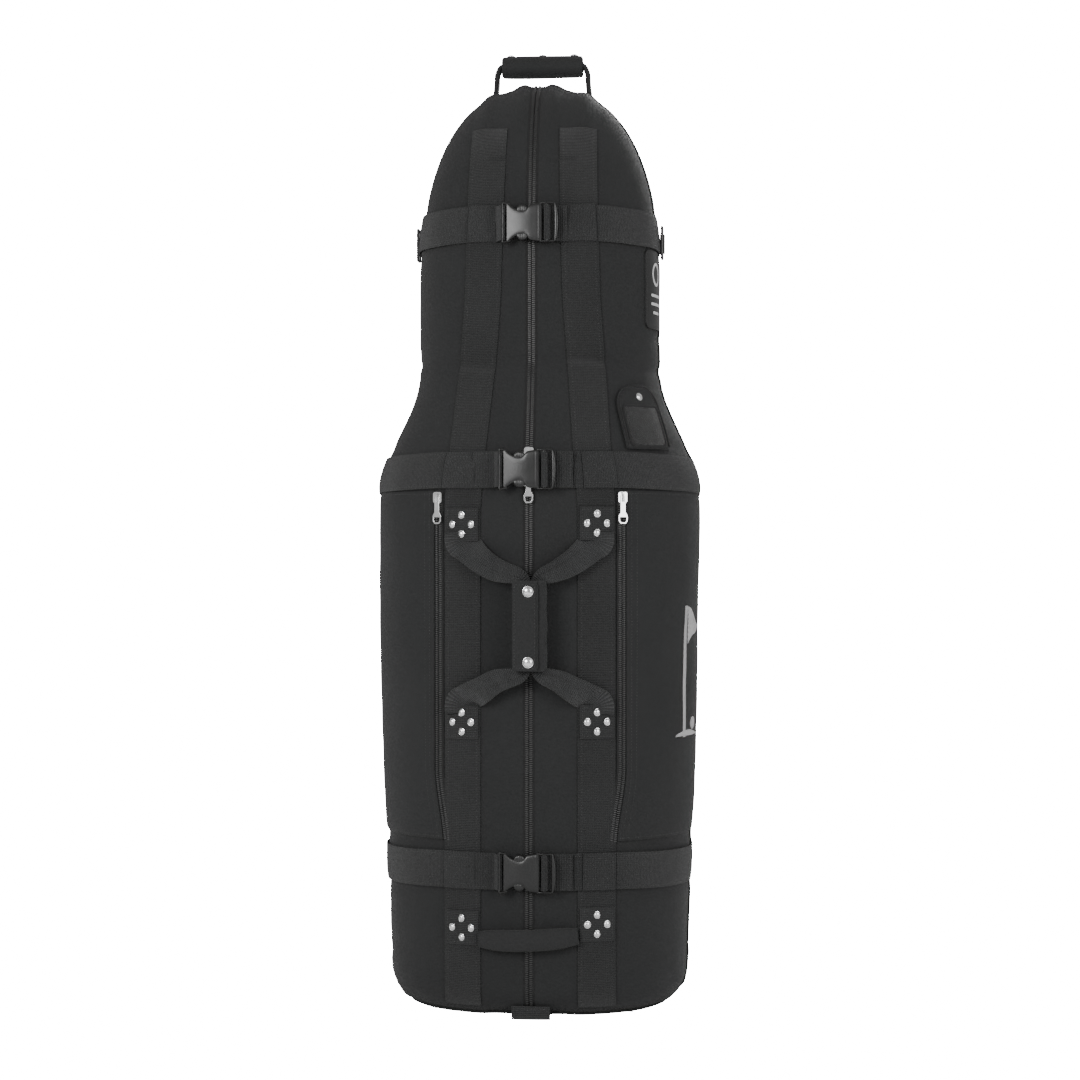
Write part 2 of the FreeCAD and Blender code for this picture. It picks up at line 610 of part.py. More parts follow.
# ---------------------------------------------------------------- haul handle in the middle
GRIP_X = dim("grip_centre_x")
GRIP_LOW = dim("grip_base_height")
GRIP_TOP = GRIP_LOW + dim("grip_length")
GRIP_BACK = -dim("lower_half_depth") - dim("grip_standoff")
GRIP_FRONT = GRIP_BACK - dim("grip_depth")

grip_block = doc.addObject("Part::Box", "haul_grip_block")
bind(grip_block, Length="grip_width", Width="grip_depth", Height="grip_length")
bind(grip_block, Placement__Base__x="grip_centre_x - 0.5 * grip_width",
     Placement__Base__y="-1 * ( lower_half_depth + grip_standoff + grip_depth )",
     Placement__Base__z="grip_base_height")
grip = doc.addObject("Part::Fillet", "haul_grip")
grip.Base = grip_block
doc.recompute()
long_edges = [number for number, edge in enumerate(grip_block.Shape.Edges, start=1)
              if abs(edge.Vertexes[0].Z - edge.Vertexes[-1].Z) > 1]
grip.Edges = [(number, 5.0, 5.0) for number in long_edges]
keep(grip, "haul_grip")

flap = doc.addObject("Part::Box", "haul_grip_flap")
bind(flap, Length="flap_width", Width="flap_thickness", Height="grip_length - 2")
bind(flap, Placement__Base__x="grip_centre_x - 0.5 * grip_width - 2",
     Placement__Base__y="-1 * ( lower_half_depth + grip_standoff + grip_depth + flap_thickness + clear_gap )",
     Placement__Base__z="grip_base_height + 1")
keep(flap, "haul_grip_flap")
FLAP_FRONT = GRIP_FRONT - dim("flap_thickness") - CLEAR
caps = [rivet(2.5, FLAP_FRONT - 0.1, z, -Y_AXIS, dim("snap_radius"), dim("snap_height")) for z in (490, 585)]
cloth("haul_grip_snaps", caps)


def strip(sections):
    """Band through sections, each a centre, half its width as a vector and half its thickness as one."""
    wires = []
    for centre, across, through in sections:
        corners = [centre + across + through, centre - across + through,
                   centre - across - through, centre + across - through]
        wires.append(Part.makePolygon(corners + corners[:1]))
    return Part.makeLoft(wires, True, True)


def haul_arm(side, end):
    """Webbing arm from under a patch to one end of the grip, turned edge-on at the grip."""
    patch_z = PATCH_ROWS[2] if end > 0 else PATCH_ROWS[1]
    root_z = patch_z - end * (dim("patch_height") / 2 + 1.5)
    grip_z = (GRIP_TOP if end > 0 else GRIP_LOW) + end * 1.0
    root_x = side * PATCH_X
    normal = outward(root_x, front_y(root_x, root_z), root_z)
    tangent = FreeCAD.Vector(-normal.y, normal.x, 0)
    root = FreeCAD.Vector(root_x, front_y(root_x, root_z), root_z) + normal * (STRAP_LOW + 1.2)
    elbow = FreeCAD.Vector(side * 52, -dim("lower_half_depth") - 8.5, grip_z + end * 12)
    tip = FreeCAD.Vector(GRIP_X + side * 9, (GRIP_BACK + GRIP_FRONT) / 2, grip_z + end * 1)
    sections = [(root, tangent * 22, normal * 0.8),
                (elbow, FreeCAD.Vector(side * 10, 0, end * 13), FreeCAD.Vector(0, -0.9, 0)),
                (tip, FreeCAD.Vector(side * 7, -4, 0), FreeCAD.Vector(0, -1.2, end * 0.6))]
    return strip(sections)


cloth("haul_handle_arms", [haul_arm(side, end) for side in (-1, 1) for end in (-1, 1)])

# ---------------------------------------------------------------- grab handle at the base
GRAB_Z = 116
GRAB_PIVOT_OFFSET = 6.3
GRAB_SPAN = PATCH_X - dim("patch_width") / 2 - 2
GRAB_SHAPE = ((0, 4.5, 0), (12, 8, 4.5), (26, 13, 9), (GRAB_SPAN, 13.5, 11))
grab_sections = []
for side in (-1, 1):
    points = GRAB_SHAPE if side < 0 else tuple(reversed(GRAB_SHAPE[:-1]))
    for inset, half_tall, out in points:
        x = side * (GRAB_SPAN - inset)
        y = -dim("lower_half_depth") - GRAB_PIVOT_OFFSET - out
        grab_sections.append((FreeCAD.Vector(x, y, GRAB_Z), FreeCAD.Vector(0, 0, half_tall),
                              FreeCAD.Vector(0, -1.7, 0)))
cloth("grab_handle", [strip(grab_sections)])

# ---------------------------------------------------------------- carry handle on the dome
SPAN = dim("carry_half_span")
CARRY_Y = dim("carry_plane_y")
PIVOT_Z = dim("carry_pivot_height")
WEB_THICK = dim("carry_web_thickness")
CORE_Z = dim("carry_grip_low") + 20
half_web = dim("carry_web_width") / 2
legs = [box(side * SPAN - WEB_THICK / 2, side * SPAN + WEB_THICK / 2, CARRY_Y - half_web, CARRY_Y + half_web,
            PIVOT_Z, CORE_Z) for side in (-1, 1)]
core = box(-SPAN - WEB_THICK / 2, SPAN + WEB_THICK / 2, CARRY_Y - half_web, CARRY_Y + half_web,
           CORE_Z - WEB_THICK, CORE_Z)
cloth("carry_handle_webbing", [core.fuse(legs).removeSplitter()])

carry_block = doc.addObject("Part::Box", "carry_grip_block")
bind(carry_block, Length="carry_grip_length", Width="carry_grip_depth + 4", Height="carry_grip_height")
bind(carry_block, Placement__Base__x="-0.5 * carry_grip_length",
     Placement__Base__y="carry_plane_y - 0.5 * ( carry_grip_depth + 4 )", Placement__Base__z="carry_grip_low")
carry_slot = doc.addObject("Part::Box", "carry_grip_slot")
bind(carry_slot, Length="carry_grip_length + 10", Width="carry_web_width + 2 * clear_gap",
     Height="carry_web_thickness + 2 * clear_gap")
bind(carry_slot, Placement__Base__x="-0.5 * carry_grip_length - 5",
     Placement__Base__y="carry_plane_y - 0.5 * carry_web_width - clear_gap",
     Placement__Base__z="carry_grip_low + 20 - carry_web_thickness - clear_gap")
carry_round = doc.addObject("Part::Fillet", "carry_grip_round")
carry_round.Base = carry_block
doc.recompute()
lying_edges = [number for number, edge in enumerate(carry_block.Shape.Edges, start=1)
               if abs(edge.Vertexes[0].X - edge.Vertexes[-1].X) > 1]
carry_round.Edges = [(number, 7.0, 7.0) for number in lying_edges]
carry_grip = doc.addObject("Part::Cut", "carry_handle_grip")
carry_grip.Base, carry_grip.Tool = carry_round, carry_slot
keep(carry_grip, "carry_handle_grip")
carry_top = dim("carry_grip_low") + dim("carry_grip_height")
cloth("carry_handle_snaps", [rivet(x, CARRY_Y, carry_top + 0.1, Z_AXIS, 6, 2.6) for x in (-46, 0, 46)])

# ---------------------------------------------------------------- side rings


def side_ring(name):
    """Rectangular ring of round wire in its own YZ plane, hung by its rear bar."""
    radius = dim("ring_bar_radius")
    half_y = dim("ring_width") / 2 - radius
    half_z = dim("ring_height") / 2 - radius
    corners = [(-half_y, -half_z), (half_y, -half_z), (half_y, half_z), (-half_y, half_z)]
    bars = []
    for index, (y, z) in enumerate(corners):
        next_y, next_z = corners[(index + 1) % 4]
        start = FreeCAD.Vector(0, y, z)
        run = FreeCAD.Vector(0, next_y - y, next_z - z)
        bars.append(Part.makeCylinder(radius, run.Length, start, run))
        bars.append(Part.makeSphere(radius, start))
    ring = bars[0].fuse(bars[1:]).removeSplitter()
    feature = doc.addObject("Part::Feature", name)
    feature.Shape = ring
    return feature


for side, name in ((-1, "left"), (1, "right")):
    keep(place(side_ring("side_ring_" + name), side * RING_X, 0, RING_Z), "side_ring_" + name)
print("RING_X %.3f" % RING_X)

# ---------------------------------------------------------------- sewn-on marks and the card holder


def facing(y, z):
    """Point on the right-hand surface at depth y and height z, with its outward and sideways directions."""
    across = 1 - (abs(y) / half_depth(z)) ** POWER
    x = half_width(z) * across ** (1 / POWER)
    normal = outward(x, y, z)
    return FreeCAD.Vector(x, y, z), normal, Z_AXIS.cross(normal)


def applied(centre, normal, sideways, outline, inner, outer, heights=None):
    """Cloth layer inside an outline drawn about a centre, seen along the surface's normal."""
    start = centre + normal * 40
    points = [start + sideways * s + Z_AXIS * t for s, t in outline]
    cutter = Part.Face(Part.makePolygon(points + points[:1])).extrude(normal * -80)
    low, high = heights or (min(t for _, t in outline), max(t for _, t in outline))
    return layer(centre.z + low - 1, centre.z + high + 1, inner, outer).common(cutter)


def rounded_outline(half_wide, low, high, radius, round_low=True):
    """Rectangle outline with rounded corners, as points."""
    corners = [(half_wide, low), (half_wide, high), (-half_wide, high), (-half_wide, low)]
    starts = (-90, 0, 90, 180)
    outline = []
    for (s, t), start in zip(corners, starts):
        if t == low and not round_low:
            outline.append((s, t))
            continue
        centre_s = s - math.copysign(radius, s)
        centre_t = t + radius if t == low else t - radius
        for step in range(5):
            angle = math.radians(start + 22.5 * step)
            outline.append((centre_s + radius * math.cos(angle), centre_t + radius * math.sin(angle)))
    return outline


badge_point, badge_normal, badge_side = facing(-44, 1005)
badge = applied(badge_point, badge_normal, badge_side, rounded_outline(30, -55, 55, 8), CLEAR, 2.0)
cloth("badge_patch", [badge])

mark_point, mark_normal, mark_side = facing(-72, 472)
POLE = [(-20, -91), (-14, -91), (-14, 91), (-20, 91)]
PENNANT = [(-13.5, 40), (32, 64), (-13.5, 90)]
GREEN = [(-34, -91), (-20.5, -91), (-20.5, -84), (-34, -87)]
BALL = [(12 + 9 * math.cos(math.radians(a)), -80 + 9 * math.sin(math.radians(a))) for a in range(0, 360, 20)]
marks = [applied(mark_point, mark_normal, mark_side, outline, 2.0, 2.7)
         for outline in (POLE, PENNANT, GREEN, BALL)]
cloth("side_emblem", marks)

HOLDER_LOW = dim("middle_strap_height") + WEB_HALF + 4
holder_point, holder_normal, holder_side = facing(-112, HOLDER_LOW + 42)
HOLDER_SPAN = (-42, 46)
HOLDER_THICKNESS = 1.4
WINDOW_THICKNESS = 0.5
holder_outline = rounded_outline(37, HOLDER_SPAN[0], HOLDER_SPAN[1], 30, round_low=False)
window_outline = rounded_outline(30, -39, 18, 3)
holder_top = STRAP_LOW + HOLDER_THICKNESS
for label, outline, inner, thickness in (
        ("card_holder", holder_outline, STRAP_LOW, HOLDER_THICKNESS),
        ("card_window", window_outline, holder_top + 0.2, WINDOW_THICKNESS)):
    cloth(label, [applied(holder_point, holder_normal, holder_side, outline, inner, inner + thickness,
                          HOLDER_SPAN)])
cap_z = holder_point.z + 31
cap_half = 5
cap_point, cap_normal, _ = facing(holder_point.y, cap_z)
lean_run = facing(holder_point.y, cap_z + cap_half)[0] - facing(holder_point.y, cap_z - cap_half)[0]
cap_lean = cap_normal - Z_AXIS * (cap_normal.dot(lean_run) / (2 * cap_half))
cap_lean.normalize()
cap_seat = cap_point + cap_normal * (holder_top + 0.2) + cap_lean * 0.5
cloth("card_holder_snap", [rivet(cap_seat.x, cap_seat.y, cap_z, cap_lean, 5.5, 2.4)])
print("HOLDER", holder_point, holder_normal, holder_side, HOLDER_LOW)

toe_loop = box(-25, 29, -171, -168, 2, 17).fuse(box(-25, 29, -162.5, -159.5, 2, 17))
toe_loop = toe_loop.fuse(box(-25, 29, -171, -159.5, 2, 4))
cloth("toe_loop", [toe_loop.removeSplitter()])

# ---------------------------------------------------------------- base moulding, wheels and axles
HOUSE = dim("housing_half_width")
HOUSE_WALL = dim("housing_wall")
WELL = dim("wheel_well_radius")
RADIUS = dim("housing_radius")
BASE_TOP = dim("base_thickness")
RAIL = dim("rail_height")
BACK_LIMIT = 181
plate_half_x = dim("base_flat_half_width") - 3
plate_half_y = dim("lower_half_depth") - dim("corner_radius") - 3
moulding = box(-plate_half_x, plate_half_x, -plate_half_y, plate_half_y, RAIL, BASE_TOP)
pieces = []
cuts = []
for side in (-1, 1):
    centre_x = side * WHEEL_X
    drum_end = FreeCAD.Vector(centre_x - HOUSE, WHEEL_Y, WHEEL_Z)
    pieces.append(Part.makeCylinder(RADIUS, 2 * HOUSE, drum_end, X_AXIS))
    pieces.append(box(centre_x - HOUSE, centre_x + HOUSE, WHEEL_Y - RADIUS, WHEEL_Y + RADIUS, 0, WHEEL_Z))
    pieces.append(box(centre_x - HOUSE, centre_x + HOUSE, 90, WHEEL_Y, RAIL, BASE_TOP))
    inner = HOUSE - HOUSE_WALL
    cuts.append(Part.makeCylinder(WELL, 2 * inner, FreeCAD.Vector(centre_x - inner, WHEEL_Y, WHEEL_Z), X_AXIS))
    cuts.append(box(centre_x - inner, centre_x + inner, WHEEL_Y - WELL, WHEEL_Y + RADIUS + 5, -5, WHEEL_Z))
    cuts.append(box(centre_x - inner, centre_x + inner, WHEEL_Y, WHEEL_Y + RADIUS + 5,
                    WHEEL_Z - 1, WHEEL_Z + 26))
    cuts.append(Part.makeCylinder(dim("axle_radius"), 4 * HOUSE,
                                  FreeCAD.Vector(centre_x - 2 * HOUSE, WHEEL_Y, WHEEL_Z), X_AXIS))
cuts.append(box(-WIDE, WIDE, BACK_LIMIT, WIDE, -5, 200))
cuts.append(box(-WIDE, WIDE, -WIDE, WIDE, -RADIUS, 0))
for x in (-66, 0, 66):
    pieces.append(box(x - 6, x + 6, -plate_half_y, plate_half_y, 0, RAIL))
cloth("base_moulding", [moulding.fuse(pieces).cut(cuts).removeSplitter()])


def turned_ring(name, outer, inner, width, crown=None):
    """Ring turned about the X axis; a crown rounds its running surface."""
    body = new_body(name)
    profile = new_sketch(body, "XZ_Plane", name + "_profile")
    draw_rectangle(profile, width, outer + " - ( " + inner + " )", "-0.5 * ( " + width + " )", inner)
    turned = revolve(body, profile)
    if crown:
        doc.recompute()
        outer_edges = ["Edge%d" % number for number, edge in enumerate(turned.Shape.Edges, start=1)
                       if edge.Closed and abs(edge.Curve.Radius - dim(outer)) < 0.01]
        rim = body.newObject("PartDesign::Fillet", name + "_crown")
        rim.Base = (turned, outer_edges)
        rim.Radius = crown
    return body


for side, name in ((-1, "left"), (1, "right")):
    tyre = turned_ring("wheel_tyre_" + name, "tyre_radius", "tyre_inner_radius", "wheel_width", crown=8)
    keep(place(tyre, side * WHEEL_X, WHEEL_Y, WHEEL_Z), "wheel_tyre_" + name)
    hub = turned_ring("wheel_hub_" + name, "tyre_inner_radius", "bearing_outer_radius + running_gap",
                      "wheel_width - 2")
    keep(place(hub, side * WHEEL_X, WHEEL_Y, WHEEL_Z), "wheel_hub_" + name)

bearings = []
axles = []
for side in (-1, 1):
    for end in (-1, 1):
        start_x = side * WHEEL_X + end * 7.5 - dim("bearing_width") / 2
        seat = FreeCAD.Vector(start_x, WHEEL_Y, WHEEL_Z)
        race = Part.makeCylinder(dim("bearing_outer_radius"), dim("bearing_width"), seat, X_AXIS)
        bore = Part.makeCylinder(dim("bearing_bore_radius"), dim("bearing_width"), seat, X_AXIS)
        bearings.append(race.cut(bore))
    shank_start = FreeCAD.Vector(side * WHEEL_X - HOUSE - 6, WHEEL_Y, WHEEL_Z)
    shank = Part.makeCylinder(dim("axle_radius") - 0.02, 2 * HOUSE + 9, shank_start, X_AXIS)
    head = Part.makeCylinder(6.5, 3, FreeCAD.Vector(side * WHEEL_X + HOUSE + 0.05, WHEEL_Y, WHEEL_Z), X_AXIS)
    hexagon = Part.makePolygon([FreeCAD.Vector(side * WHEEL_X - HOUSE - 0.05,
                                               WHEEL_Y + 7 * math.cos(math.radians(60 * k)),
                                               WHEEL_Z + 7 * math.sin(math.radians(60 * k))) for k in range(7)])
    nut = Part.Face(hexagon).extrude(FreeCAD.Vector(-5, 0, 0))
    axles.append(shank.fuse([head, nut]).removeSplitter())
cloth("wheel_bearings", bearings)
cloth("wheel_axles", axles)

# ---------------------------------------------------------------- checks and files
doc.recompute()
for obj in doc.Objects:
    bad = [state for state in obj.State if state in ("Invalid", "Error")]
    if bad:
        raise RuntimeError("%s is %s" % (obj.Label, bad))
for obj in nodes:
    shape = obj.Shape
    if shape.isNull() or not shape.isValid() or not shape.Solids:
        raise RuntimeError("bad shape: " + obj.Label)
os.makedirs("parts", exist_ok=True)
for obj in nodes:
    obj.Shape.exportStep(os.path.join("parts", obj.Label + ".step"))
    print("%-24s solids %2d volume %10.1f" % (obj.Label, len(obj.Shape.Solids), obj.Shape.Volume))
print("nodes", len(nodes))
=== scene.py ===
import json
import bmesh
import bpy
import numpy as np
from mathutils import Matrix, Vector

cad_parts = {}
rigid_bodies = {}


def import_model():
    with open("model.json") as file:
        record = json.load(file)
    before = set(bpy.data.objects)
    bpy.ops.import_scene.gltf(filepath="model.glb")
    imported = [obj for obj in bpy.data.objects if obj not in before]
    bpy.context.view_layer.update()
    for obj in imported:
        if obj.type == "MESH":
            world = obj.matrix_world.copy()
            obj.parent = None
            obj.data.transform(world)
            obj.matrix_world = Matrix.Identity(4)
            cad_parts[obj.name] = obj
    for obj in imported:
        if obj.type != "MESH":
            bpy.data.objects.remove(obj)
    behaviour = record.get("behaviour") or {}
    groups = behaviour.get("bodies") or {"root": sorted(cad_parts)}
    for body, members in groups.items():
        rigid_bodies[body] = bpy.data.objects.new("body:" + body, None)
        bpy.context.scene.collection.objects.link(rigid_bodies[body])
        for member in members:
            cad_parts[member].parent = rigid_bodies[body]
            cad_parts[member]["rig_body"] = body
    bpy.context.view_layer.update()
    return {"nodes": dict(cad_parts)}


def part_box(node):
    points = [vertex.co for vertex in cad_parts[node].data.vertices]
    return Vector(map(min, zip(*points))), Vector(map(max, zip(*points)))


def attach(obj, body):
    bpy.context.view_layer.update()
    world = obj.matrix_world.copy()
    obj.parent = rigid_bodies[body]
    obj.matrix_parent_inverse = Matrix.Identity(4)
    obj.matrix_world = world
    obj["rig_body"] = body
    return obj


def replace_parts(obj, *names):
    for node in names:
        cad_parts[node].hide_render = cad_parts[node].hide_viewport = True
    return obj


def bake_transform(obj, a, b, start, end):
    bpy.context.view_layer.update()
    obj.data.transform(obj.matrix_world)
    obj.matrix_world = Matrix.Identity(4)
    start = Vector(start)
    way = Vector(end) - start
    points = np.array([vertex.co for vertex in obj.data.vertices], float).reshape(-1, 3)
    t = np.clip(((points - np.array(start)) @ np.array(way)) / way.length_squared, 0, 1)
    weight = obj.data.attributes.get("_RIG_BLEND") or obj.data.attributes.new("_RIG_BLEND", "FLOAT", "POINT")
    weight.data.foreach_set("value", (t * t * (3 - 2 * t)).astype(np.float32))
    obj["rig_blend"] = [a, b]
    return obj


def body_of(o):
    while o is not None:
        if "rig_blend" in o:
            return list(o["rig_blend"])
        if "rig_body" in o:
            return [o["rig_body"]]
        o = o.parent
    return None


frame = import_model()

# ---------------------------------------------------------------- studio
# The case stands on a white sweep in a white room, seen from chest height, a little to its right, with two
# large soft lights in front and one behind to draw its edge.
CAMERA_DISTANCE = 3.1
CAMERA_HEIGHT = 0.654
CAMERA_TURN = np.radians(5.0)
CAMERA_LENS = 72.0


def area_light(name, place, aim, size, watts):
    """Square soft light at place, facing aim."""
    data = bpy.data.lights.new(name, "AREA")
    data.size = size
    data.energy = watts
    lamp = bpy.data.objects.new(name, data)
    lamp.location = place
    direction = np.array(aim) - np.array(place)
    lamp.rotation_euler = Vector(direction).to_track_quat("-Z", "Y").to_euler()
    bpy.context.scene.collection.objects.link(lamp)


camera_data = bpy.data.cameras.new("camera")
camera_data.lens = CAMERA_LENS
camera = bpy.data.objects.new("camera", camera_data)
camera.location = (CAMERA_DISTANCE * np.sin(CAMERA_TURN), -CAMERA_DISTANCE * np.cos(CAMERA_TURN),
                   CAMERA_HEIGHT)
camera.rotation_euler = (np.pi / 2, 0, CAMERA_TURN)
bpy.context.scene.collection.objects.link(camera)
bpy.context.scene.camera = camera
area_light("key_light", (-1.35, -2.5, 1.45), (0, 0, 0.75), 1.2, 56)
area_light("fill_light", (2.1, -2.2, 1.4), (0, 0, 0.7), 1.8, 46)
area_light("rim_light", (0.6, 2.2, 2.4), (0, 0, 0.9), 1.2, 40)
WALL_GLOW = 30.0
FLOOR_GLOW = 28.0
ROOM_LIGHT = 0.50
world = bpy.data.worlds.new("white_room")
world.use_nodes = True
room = world.node_tree.nodes
seen = room.new("ShaderNodeLightPath")
strength = room.new("ShaderNodeMix")
strength.inputs["A"].default_value = ROOM_LIGHT
strength.inputs["B"].default_value = WALL_GLOW
world.node_tree.links.new(seen.outputs["Is Camera Ray"], strength.inputs["Factor"])
world.node_tree.links.new(strength.outputs["Result"], room["Background"].inputs["Strength"])
room["Background"].inputs["Color"].default_value = (1, 1, 1, 1)
bpy.context.scene.world = world


class Value:
    """A number that varies over a surface; arithmetic on it adds Math nodes to its finish."""

    def __init__(self, finish, socket):
        self.finish = finish
        self.socket = socket

    def math(self, operation, other=None):
        """One Math node on this value and another number or value."""
        pair = [self] if other is None else [self, other]
        return self.finish.node("ShaderNodeMath", {"operation": operation}, dict(enumerate(pair)))

    def __add__(self, other):
        return self.math("ADD", other)

    def __sub__(self, other):
        return self.math("SUBTRACT", other)

    def __mul__(self, other):
        return self.math("MULTIPLY", other)

    def sine(self):
        """Sine of this value."""
        return self.math("SINE")

    def limited(self):
        """This value kept between 0 and 1."""
        return self.math("MINIMUM", 1.0).math("MAXIMUM", 0.0)

    __radd__ = __add__
    __rmul__ = __mul__


class Finish:
    """A material: Principled shader with its constants, and a method that adds any other node."""

    def __init__(self, name, **constants):
        self.material = bpy.data.materials.new(name)
        self.material.use_nodes = True
        self.nodes = self.material.node_tree.nodes
        self.links = self.material.node_tree.links
        self.shader = self.nodes["Principled BSDF"]
        for socket, value in constants.items():
            self.shader.inputs[socket.replace("_", " ")].default_value = value

    def node(self, kind, settings=None, inputs=None, output=0):
        """Add a node, set its settings, then its sockets, and return one output as a Value."""
        node = self.nodes.new(kind)
        for key, value in (settings or {}).items():
            setattr(node, key, value)
        for socket, value in (inputs or {}).items():
            if isinstance(value, Value):
                self.links.new(value.socket, node.inputs[socket])
            else:
                node.inputs[socket].default_value = value
        return Value(self, node.outputs[output])

    def place(self, source="UV"):
        """The surface's own coordinates, split in three."""
        where = self.node("ShaderNodeTexCoord", output=source)
        return where, [self.node("ShaderNodeSeparateXYZ", None, {0: where}, axis) for axis in range(3)]

    def noise(self, where, scale, detail=3.0):
        """Smooth noise from 0 to 1."""
        return self.node("ShaderNodeTexNoise", None, {"Vector": where, "Scale": scale, "Detail": detail})

    def blend(self, share, low, high):
        """Colour between two colours."""
        return self.node("ShaderNodeMix", {"data_type": "RGBA"}, {0: share, 6: low, 7: high}, 2)

    def wear(self, colour=None, roughness=None, height=None, depth=0.001, **others):
        """Feed the shader with what changes over the surface; height goes through a Bump node."""
        feeds = {"Base Color": colour, "Roughness": roughness}
        feeds.update({name.replace("_", " "): value for name, value in others.items()})
        if height is not None:
            feeds["Normal"] = self.node("ShaderNodeBump", None, {"Height": height, "Distance": depth})
        for socket, value in feeds.items():
            if value is not None:
                self.links.new(value.socket, self.shader.inputs[socket])
        return self.material


def grey(level, tint=0.0):
    """Opaque grey, a little blue when tint is above 0."""
    return (level * (1 - tint), level, level * (1 + tint), 1.0)


def floor_finish():
    """White studio sweep with the faintest mottling, lit from below so that it reads as white."""
    finish = Finish("white_sweep", Roughness=0.9, Emission_Strength=1.0)
    where, _ = finish.place("Object")
    mottle = finish.noise(where, 1.5)
    seen = finish.node("ShaderNodeLightPath", output="Is Camera Ray")
    glow = finish.blend(seen, grey(0.0), grey(FLOOR_GLOW))
    return finish.wear(colour=finish.blend(mottle, grey(0.80), grey(0.84)), Emission_Color=glow)


bpy.ops.mesh.primitive_plane_add(size=14)
floor = bpy.context.object
floor.name = "studio_floor"
floor.data.materials.append(floor_finish())

# ---------------------------------------------------------------- case wall
# Ballistic nylon laminated on foam, cut in two front panels and a back panel and sewn into a domed barrel:
# wide at the base, drawn in at the shoulder, and closed at the front by the long zipper.
POWER = 2.4
CORNER_POWER = 3.4
LOWER_WIDTH = 0.227
BASE_WIDTH = 0.211
UPPER_WIDTH = 0.170
LOWER_DEPTH = 0.175
UPPER_DEPTH = 0.135
FLAT_WIDTH = 0.141
CORNER_RADIUS = 0.070
CORNER_TOP = 0.072
CORNER_HEIGHT = 0.068
CORNER_RUN = 0.105
DOME_BASE = 1.010
DOME_HEIGHT = 0.292
DOME_RUN = 0.380
SIDE_SHOULDER = (0.718, 0.893)
FRONT_SHOULDER = (0.758, 0.905)
PROFILE_END = DOME_BASE + DOME_RUN
PROFILE_START = CORNER_TOP - CORNER_RUN


def smooth(value):
    """Smooth step from 0 to 1: 3v^2 - 2v^3."""
    value = np.clip(value, 0.0, 1.0)
    return value * value * (3 - 2 * value)


def bump(value, centre, width):
    """Bell curve: exp of minus the squared distance from centre over width."""
    return np.exp(-((value - centre) / width) ** 2)


def profile(run, offset):
    """Half width, half depth and height at a length along the profile, on the surface offset outwards.

    Bottom corner: superellipse arc. Barrel: straight lines joined by a smooth step. Dome: superellipse arc.
    """
    corner = np.clip((CORNER_TOP - run) / CORNER_RUN, 0, 1) * np.pi / 2
    dome = np.clip((run - DOME_BASE) / DOME_RUN, 0, 1) * np.pi / 2
    rise = np.clip((run - CORNER_TOP) / (SIDE_SHOULDER[0] - CORNER_TOP), 0, 1)
    barrel = BASE_WIDTH + (LOWER_WIDTH - BASE_WIDTH) * rise
    side = (run - SIDE_SHOULDER[0]) / (SIDE_SHOULDER[1] - SIDE_SHOULDER[0])
    width = barrel + (UPPER_WIDTH - barrel) * smooth(side) + offset
    front = np.clip((run - FRONT_SHOULDER[0]) / (FRONT_SHOULDER[1] - FRONT_SHOULDER[0]), 0, 1)
    depth = LOWER_DEPTH + (UPPER_DEPTH - LOWER_DEPTH) * front + offset
    low = np.maximum(np.cos(corner), 0) ** (2 / CORNER_POWER)
    high = np.maximum(np.cos(dome), 0) ** (2 / POWER)
    at_foot = run < CORNER_TOP
    at_dome = run > DOME_BASE
    reach = (CORNER_RADIUS + offset) * low
    flat_depth = LOWER_DEPTH - CORNER_RADIUS
    width = np.where(at_foot, FLAT_WIDTH + reach, np.where(at_dome, (UPPER_WIDTH + offset) * high, width))
    depth = np.where(at_foot, flat_depth + reach, np.where(at_dome, (UPPER_DEPTH + offset) * high, depth))
    foot = CORNER_TOP - (CORNER_HEIGHT + offset) * np.sin(corner) ** (2 / CORNER_POWER)
    top = DOME_BASE + (DOME_HEIGHT + offset) * np.sin(dome) ** (2 / POWER)
    return width, depth, np.where(at_foot, foot, np.where(at_dome, top, run))


def run_at(height):
    """Profile length at a height: the inverse of profile's height at offset 0."""
    height = np.asarray(height, float)
    in_dome = np.arcsin(np.clip((height - DOME_BASE) / DOME_HEIGHT, 0, 1) ** (POWER / 2))
    in_foot = np.arcsin(np.clip((CORNER_TOP - height) / CORNER_HEIGHT, 0, 1) ** (CORNER_POWER / 2))
    run = np.where(height > DOME_BASE, DOME_BASE + in_dome * 2 / np.pi * DOME_RUN, height)
    return np.where(height < CORNER_TOP, CORNER_TOP - in_foot * 2 / np.pi * CORNER_RUN, run)


def oval(angle, power):
    """Superellipse of half size 1 at an angle: cos and sin, each to the power 2/p with its own sign."""
    cosine, sine = np.cos(angle), np.sin(angle)
    return np.sign(cosine) * np.abs(cosine) ** (2 / power), np.sign(sine) * np.abs(sine) ** (2 / power)


def ring_point(angle, run, offset):
    """Point of the superellipse section: x = a|cos|^(2/p), y = b|sin|^(2/p), with their signs."""
    width, depth, height = profile(run, offset)
    x, y = oval(angle, POWER)
    return np.stack(np.broadcast_arrays(width * x, depth * y, height), -1)


def front_angle(x, run):
    """Section angle of the front surface at x."""
    width = profile(run, 0.0)[0]
    share = np.clip(np.abs(x) / np.maximum(width, 1e-6), 0, 1) ** (POWER / 2)
    return -np.arccos(np.sign(x) * share)


def ripple(point, seed, pitch):
    """Sum of five sine waves in fixed directions, each with its own phase, from -1 to 1."""
    draw = np.random.default_rng(seed)
    total = 0.0
    for _ in range(5):
        direction = draw.normal(size=3)
        direction *= 2 * np.pi / (pitch * draw.uniform(0.7, 1.5) * np.linalg.norm(direction))
        total = total + np.sin(point @ direction + draw.uniform(0, 2 * np.pi))
    return total / 5


